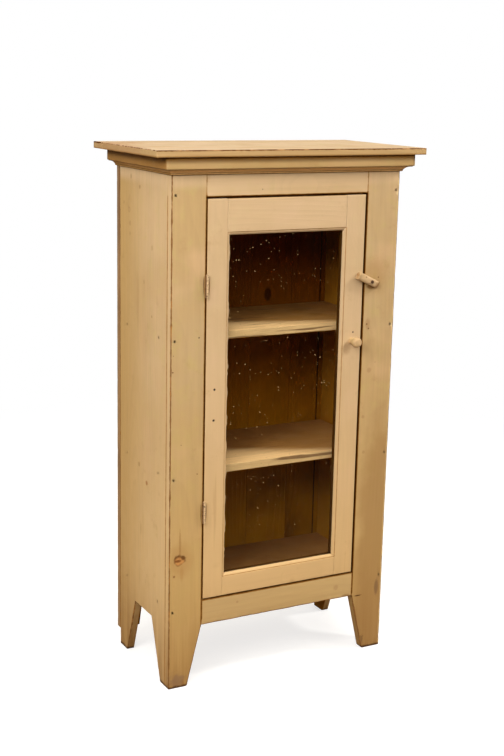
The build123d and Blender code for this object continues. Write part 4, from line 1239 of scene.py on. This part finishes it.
def doorRail(name, edgeZ, sightZ, upward, seed, node):
    # rail section carried across. What stands past the sight line is mitred at both ends
    profile, edges = doorProfile(abs(sightZ - edgeZ))
    share = np.linspace(0, 1, doorLook["railRows"])[:, None]
    past = np.maximum(profile[:, 0], 0.0)
    points = np.zeros((len(share), len(profile), 3))
    points[..., 0] = (sightLeft + past) * (1 - share) + (sightRight - past) * share
    points[..., 1] = front + profile[:, 1]
    points[..., 2] = sightZ + upward * profile[:, 0]
    ages = doorAges(points, edges, points[..., 0] + 1, 1.1, seed)
    piece = meshPiece(name, points, ages, [doorAcross])
    return place(piece, "door", "painted_door", node)


doorStile("doorHingeStile", doorLeft, sightLeft, 1, 81, "door_hinge_stile")
doorStile("doorLatchStile", doorRight, sightRight, -1, 82, "door_latch_stile")
doorRail("doorTopRail", doorHigh, sightHigh, -1, 83, "door_top_rail")
doorRail("doorBottomRail", doorLow, sightLow, 1, 84, "door_bottom_rail")

beadLook = {"arris": 0.0004, "bevel": 0.003, "step": 0.004, "stations": 60, "wear": 0.1}


def beadPiece(name, node, axes, seed):
    # glazing bead: a small square stick with one corner taken off, seen only with the door open
    low, high = span(node)
    a, b, along = axes
    corners = np.array([(low[a], low[b]), (high[a], low[b]), (high[a], high[b]), (low[a], high[b])])
    middle = (sightLeft + sightRight) / 2 if a == 0 else (sightLow + sightHigh) / 2
    rounds = np.full(4, beadLook["arris"])
    rounds[2 if (low[a] + high[a]) / 2 < middle else 3] = beadLook["bevel"]
    profile, _ = outlineRing(corners, rounds, 0.0, beadLook["step"])
    share = np.linspace(0, 1, beadLook["stations"])[:, None]
    points = np.zeros((len(share), len(profile), 3))
    points[..., a] = profile[:, 0]
    points[..., b] = profile[:, 1]
    points[..., along] = low[along] * (1 - share) + high[along] * share
    ages = newAges(points, seed)
    ages[..., :2] = beadLook["wear"]
    piece = meshPiece(name, points, ages, [beadUp if along == 2 else beadWood])
    return place(piece, "door", "painted_door", node)


beadPiece("glazingBeadLeft", "glazing_bead_left", (0, 1, 2), 85)
beadPiece("glazingBeadRight", "glazing_bead_right", (0, 1, 2), 86)
beadPiece("glazingBeadTop", "glazing_bead_top", (2, 1, 0), 87)
beadPiece("glazingBeadBottom", "glazing_bead_bottom", (2, 1, 0), 88)


def glassPiece():
    # pane as a flat tube along X: the section runs up the front and down the back, and both ripple together
    # as a product of sines that dies out at every edge
    rows, steps, slack = glassLook["across"], glassLook["up"], glassLook["slack"]
    x = np.linspace(glassLow[0], glassHigh[0], rows)[:, None]
    up = np.linspace(glassLow[2], glassHigh[2], steps)
    z = np.concatenate([up, up[::-1]])[None]
    face = np.concatenate([np.zeros(steps), np.ones(steps)])[None]
    dying = np.sin(pi * (x - glassLow[0]) / np.ptp(x)) * np.sin(pi * (z - glassLow[2]) / np.ptp(z))
    wave = glassLook["ripple"] * np.sin(19 * x + 7 * z) * np.sin(11 * z - 5 * x + 1) * dying
    y = glassLow[1] + slack + face * (glassHigh[1] - glassLow[1] - 2 * slack) + wave
    points = np.stack(np.broadcast_arrays(x, y, z), -1)
    piece = meshPiece("glassPane", points, (0, 0, 0), [pane])
    return place(piece, "door", "glass", "glass_pane")


glassPiece()

slopLook = {
    "wide": 0.0034, "thick": 0.0003, "ends": 0.012, "stations": 420, "share": 0.3,
    # section: out over the glass in shares of the width, or metres where it is under the wood; then depth in
    # shares of the thickness
    "section": ((-0.002, 0.5), (-0.002, -0.6), (0.0, -1.0), (0.6, -0.8), (0.92, -0.3), (1.0, 0.1),
                (0.9, 0.5)),
}


def slopPiece():
    # paint that ran onto the pane beside the hinge stile. Its free edge wanders
    heights = np.linspace(sightLow + slopLook["ends"], sightHigh - slopLook["ends"], slopLook["stations"])
    edge = sightLeft + doorLook["stickingWide"]
    wander = waver(heights, 2.1, 88, 0.09) + 0.5 * waver(heights, 1.9, 89, 0.025)
    wide = slopLook["wide"] * np.clip(0.35 + 0.5 * wander, 0.12, 1)
    out, depth = np.array(slopLook["section"]).T
    points = np.zeros((len(heights), len(out), 3))
    points[..., 0] = edge + np.where(out < 0, out, out * wide[:, None])
    points[..., 1] = glassLow[1] + depth * slopLook["thick"]
    points[..., 2] = heights[:, None]
    piece = meshPiece("paintSlop", points, (0, 0, slopLook["share"]), [doorUp])
    return place(piece, "door", "painted_door")


slopPiece()
print("stage: door")

# hinges and screws keep their CAD meshes

for hingeNode in ("upper_hinge_frame_leaf", "lower_hinge_frame_leaf", "upper_hinge_door_leaf",
                  "lower_hinge_door_leaf", "upper_hinge_pin", "lower_hinge_pin"):
    dress(hingeNode, paintedIron)
for screwNode in ("hinge_frame_screws", "hinge_door_screws", "button_screw"):
    dress(screwNode, plainIron)

# knob and turn button

knobLook = {
    # (out from the door, radius)
    "turning": ((0.0, 0.0090), (0.003, 0.0083), (0.008, 0.0076), (0.0115, 0.0086), (0.015, 0.0108),
                (0.0185, 0.0124), (0.022, 0.0128), (0.0255, 0.0126), (0.0285, 0.0118), (0.0308, 0.0104),
                (0.0322, 0.0078), (0.0328, 0.004), (0.0329, 0.0012)),
    "stations": 52, "unround": 0.012, "wear": 0.12,
}


def knobPiece():
    # turning drawn through its points and smoothed three times by (before + 2 * here + after) / 4
    low, high = span("knob")
    centre = ((low[0] + high[0]) / 2, front, (low[2] + high[2]) / 2)
    turning = np.array(knobLook["turning"])
    fine = np.linspace(0, len(turning) - 1, knobLook["stations"])
    profile = np.column_stack([np.interp(fine, np.arange(len(turning)), turning[:, k]) for k in (0, 1)])
    for _ in range(3):
        profile[1:-1] = (profile[:-2] + 2 * profile[1:-1] + profile[2:]) / 4
    piece = turned("knob", profile, centre, (0, -1, 0), upPaint, 91, knobLook["unround"], knobLook["wear"])
    return place(piece, "door", "painted_door", "knob")


knobPiece()

buttonLook = {
    "long": 0.040, "short": 0.0272,       # from the screw to each end
    "big": 0.0097, "small": 0.0080,       # half width at the long and at the short end
    "thick": 0.014,
    "tilt": 25.0,
    "off": 0.0005,                        # clear of the stile
    "power": 3.2,                         # of the superellipse its section follows: 2 is an oval
    # (share of the length, share of the half width) and the same for the thickness
    "widths": ((0.0, 0.90), (0.012, 0.97), (0.03, 1.0), (0.9, 1.06), (0.955, 0.9), (0.985, 0.66),
               (1.0, 0.35)),
    "depths": ((0.0, 0.95), (0.03, 1.0), (0.5, 1.0), (0.86, 0.88), (0.95, 0.62), (1.0, 0.3)),
    "columns": 32, "wear": 0.26, "longWear": 0.5, "shortWear": 0.6, "share": 0.4,
}


def buttonPiece():
    # whittled stick: sections across its length are flat-backed ovals that taper to the short end
    pivot = (screwLow + screwHigh) / 2
    s = np.concatenate([(0.0, 0.012, 0.03), np.linspace(0.06, 0.90, 22), (0.935, 0.965, 0.985, 1.0)])
    angle = np.linspace(0, 2 * pi, buttonLook["columns"], endpoint=False)
    along = s * (buttonLook["long"] + buttonLook["short"]) - buttonLook["long"]
    half = buttonLook["big"] + (buttonLook["small"] - buttonLook["big"]) * s
    half = half * np.interp(s, *np.array(buttonLook["widths"]).T) * (1 + 0.04 * waver(along, 0.1, 95, 0.012))
    thick = buttonLook["thick"] * np.interp(s, *np.array(buttonLook["depths"]).T)
    power = buttonLook["power"]
    reach = (np.abs(np.cos(angle)) ** power + np.abs(np.sin(angle)) ** power) ** (-1 / power)
    across = half[:, None] * (np.cos(angle) * reach)[None]
    depth = thick[:, None] * (0.5 + 0.5 * (np.sin(angle) * reach)[None]).clip(0, 1)
    tilt = radians(buttonLook["tilt"])
    points = np.zeros(across.shape + (3,))
    points[..., 0] = pivot[0] + along[:, None] * cos(tilt) + across * sin(tilt)
    points[..., 1] = front - buttonLook["off"] - depth
    points[..., 2] = pivot[2] - along[:, None] * sin(tilt) + across * cos(tilt)
    ages = np.zeros(points.shape)
    ages[..., 0] = buttonLook["wear"] + 0.16 * waver(along, 0.1, 96, 0.02)[:, None]
    ages[0, :, 0] = buttonLook["longWear"]
    ages[-4:, :, 0] = buttonLook["shortWear"]
    ages[..., 2] = buttonLook["share"]
    piece = meshPiece("turnButton", points, ages, [stickFace])
    return place(piece, "button", "painted_pine", "turn_button")


buttonPiece()

# nails keep their CAD meshes. Those of the back are bare

nailMaterials = {"top_nails": topFace, "shelf_nails": besidePaint, "frame_nails": upPaint,
                 "back_nails": plainIron, "cornice_nails": cornicePaintAcross}
for nailNode, nailMaterial in nailMaterials.items():
    dress(nailNode, nailMaterial)
print("stage: hardware")

# floor, light and camera

floorLook = {
    "colour": (0.42, 0.415, 0.405), "mottle": 0.985, "lift": 0.68,
    "bounce": (0.30, 0.23, 0.16),   # what it looks like to everything but the camera
    "dim": 0.02,                    # the same past the fade
    "near": 1.1, "far": 2.6,        # where it starts to fade and is gone
    "reach": 30.0, "rings": 40, "columns": 96, "under": 0.0004,
}


def diffuse(tree, colour):
    # matt surface
    return put(tree, "BsdfDiffuse", {"Color": colour}).outputs[0]


def glow(tree, strength):
    # even white light
    return put(tree, "Emission", {"Color": rgb(1, 1, 1), "Strength": strength}).outputs[0]


def floorMaterial(look):
    # pale paper near the cupboard. Far off the camera sees it fade into the white beyond, and only the camera
    material, tree = newMaterial("paleFloor")
    own = put(tree, "TexCoord").outputs["Object"]
    away = vectorMaths(tree, "LENGTH", own).outputs["Value"]
    darker = rgb(*[channel * look["mottle"] for channel in look["colour"]])
    tone = mixColour(tree, noise(tree, own, 30.0, 4.0), rgb(*look["colour"]), darker)
    lit = put(tree, "AddShader", {0: diffuse(tree, tone), 1: glow(tree, look["lift"])}).outputs[0]
    seen = put(tree, "LightPath").outputs["Is Camera Ray"]
    paper = put(tree, "MixShader", {0: seen, 1: diffuse(tree, rgb(*look["bounce"])), 2: lit}).outputs[0]
    beyond = put(tree, "MixShader", {0: seen, 1: glow(tree, look["dim"]), 2: glow(tree, 1.0)}).outputs[0]
    fade = ramp(tree, away, look["near"], look["far"])
    put(tree, "OutputMaterial", {0: put(tree, "MixShader", {0: fade, 1: paper, 2: beyond}).outputs[0]})
    return material


def floorPiece():
    # flat disc of rings whose radii grow as the cube of their number
    rings, columns = floorLook["rings"], floorLook["columns"]
    radii = 0.02 + floorLook["reach"] * np.linspace(0, 1, rings) ** 3
    angle = np.linspace(0, 2 * pi, columns, endpoint=False)
    points = np.zeros((rings, columns, 3))
    points[..., 0] = radii[:, None] * np.cos(angle)
    points[..., 1] = radii[:, None] * np.sin(angle)
    points[..., 2] = -floorLook["under"]
    quads = tubeFaces(1, rings, columns).reshape(-1, 4)
    mesh = bpy.data.meshes.new("floor")
    mesh.from_pydata(points.reshape(-1, 3).tolist(), [], quads.tolist() + [list(range(columns))])
    mesh.materials.append(floorMaterial(floorLook))
    floor = addObject("floor", mesh)
    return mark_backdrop(floor)


floorPiece()

lightColour = (1.0, 0.98, 0.95)
lightLook = {
    # name: place, height it is aimed at on the cupboard's middle line, width, height, power in watts
    "right": ((2.9, -1.3, 3.2), 0.75, 0.6, 0.6, 90.0),
    "frontRight": ((1.7, -2.6, 2.9), 0.75, 1.0, 1.0, 25.0),
    "camera": ((-1.7, -2.7, 2.4), 0.75, 1.0, 1.0, 28.0),
    "left": ((-2.4, -1.4, 2.2), 0.75, 1.2, 1.2, 50.0),
    "leftBack": ((-2.6, -0.5, 2.6), 0.75, 1.2, 1.2, 8.0),
    "leftHigh": ((-1.3, -1.3, 2.6), 0.9, 0.9, 0.9, 14.0),
    "rear": ((1.2, 3.0, 2.2), 0.7, 2.0, 1.6, 30.0),
}


def standing(at, across, up, outward):
    # matrix that puts a thing at a place with its X, Y and Z along three directions
    turn = Matrix([list(across), list(up), list(outward)]).transposed()
    return Matrix.Translation(at) @ turn.to_4x4()


def lightPiece(name, at, aim, wide, high, power):
    # area lamp that shines against its outward direction, unseen by the camera and in gloss
    lamp = bpy.data.lights.new(name, "AREA")
    lamp.shape = "RECTANGLE"
    lamp.size = wide
    lamp.size_y = high
    lamp.energy = power
    lamp.color = lightColour
    light = addObject(name, lamp)
    outward = np.array(at) - (0.0, 0.0, aim)
    outward = outward / np.linalg.norm(outward)
    across = np.cross((0, 0, 1), outward)
    across = across / np.linalg.norm(across)
    light.matrix_world = standing(at, across, np.cross(outward, across), outward)
    light.visible_camera = False
    light.visible_glossy = False
    return light


for lightName, values in lightLook.items():
    lightPiece(lightName, *values)

skyLook = {"overhead": 0.85, "level": 0.13, "height": 0.8, "colour": (1.0, 0.89, 0.74)}


def skyDome():
    # white to the camera. For all else it is a dome, dim at the horizon and brighter overhead
    world = bpy.data.worlds.new("studio")
    bpy.context.scene.world = world
    world.use_nodes = True
    tree = world.node_tree
    tree.nodes.clear()
    height = axisOf(tree, put(tree, "TexCoord").outputs["Generated"], "z")
    strength = ramp(tree, height, 0.0, skyLook["height"], skyLook["level"], skyLook["overhead"])
    dome = put(tree, "Background", {"Color": rgb(*skyLook["colour"]), "Strength": strength}).outputs[0]
    white = put(tree, "Background", {"Color": rgb(1, 1, 1), "Strength": 1.0}).outputs[0]
    seen = put(tree, "LightPath").outputs["Is Camera Ray"]
    put(tree, "OutputWorld", {0: put(tree, "MixShader", {0: seen, 1: dome, 2: white}).outputs[0]})


skyDome()
bpy.context.scene.view_settings.view_transform = "Standard"

cameraLook = {"at": (-1.536, -2.8255, 1.465), "azimuth": -28.384, "elevation": 13.071, "roll": 1.244,
              "lens": 62.47, "sensor": 36.0}


def cameraPiece():
    # outward from azimuth and elevation; across and up are then turned about it by the roll
    azimuth, elevation, roll = (radians(cameraLook[key]) for key in ("azimuth", "elevation", "roll"))
    outward = np.array([sin(azimuth) * cos(elevation), -cos(azimuth) * cos(elevation), sin(elevation)])
    across = np.array([cos(azimuth), sin(azimuth), 0.0])
    up = np.cross(outward, across)
    turnedAcross = across * cos(roll) + up * sin(roll)
    turnedUp = -across * sin(roll) + up * cos(roll)
    lens = bpy.data.cameras.new("view")
    lens.sensor_fit = "VERTICAL"
    lens.sensor_height = cameraLook["sensor"]
    lens.lens = cameraLook["lens"]
    camera = addObject("view", lens)
    camera.matrix_world = standing(cameraLook["at"], turnedAcross, turnedUp, outward)
    bpy.context.scene.camera = camera


cameraPiece()
print("stage: floor, light and camera")
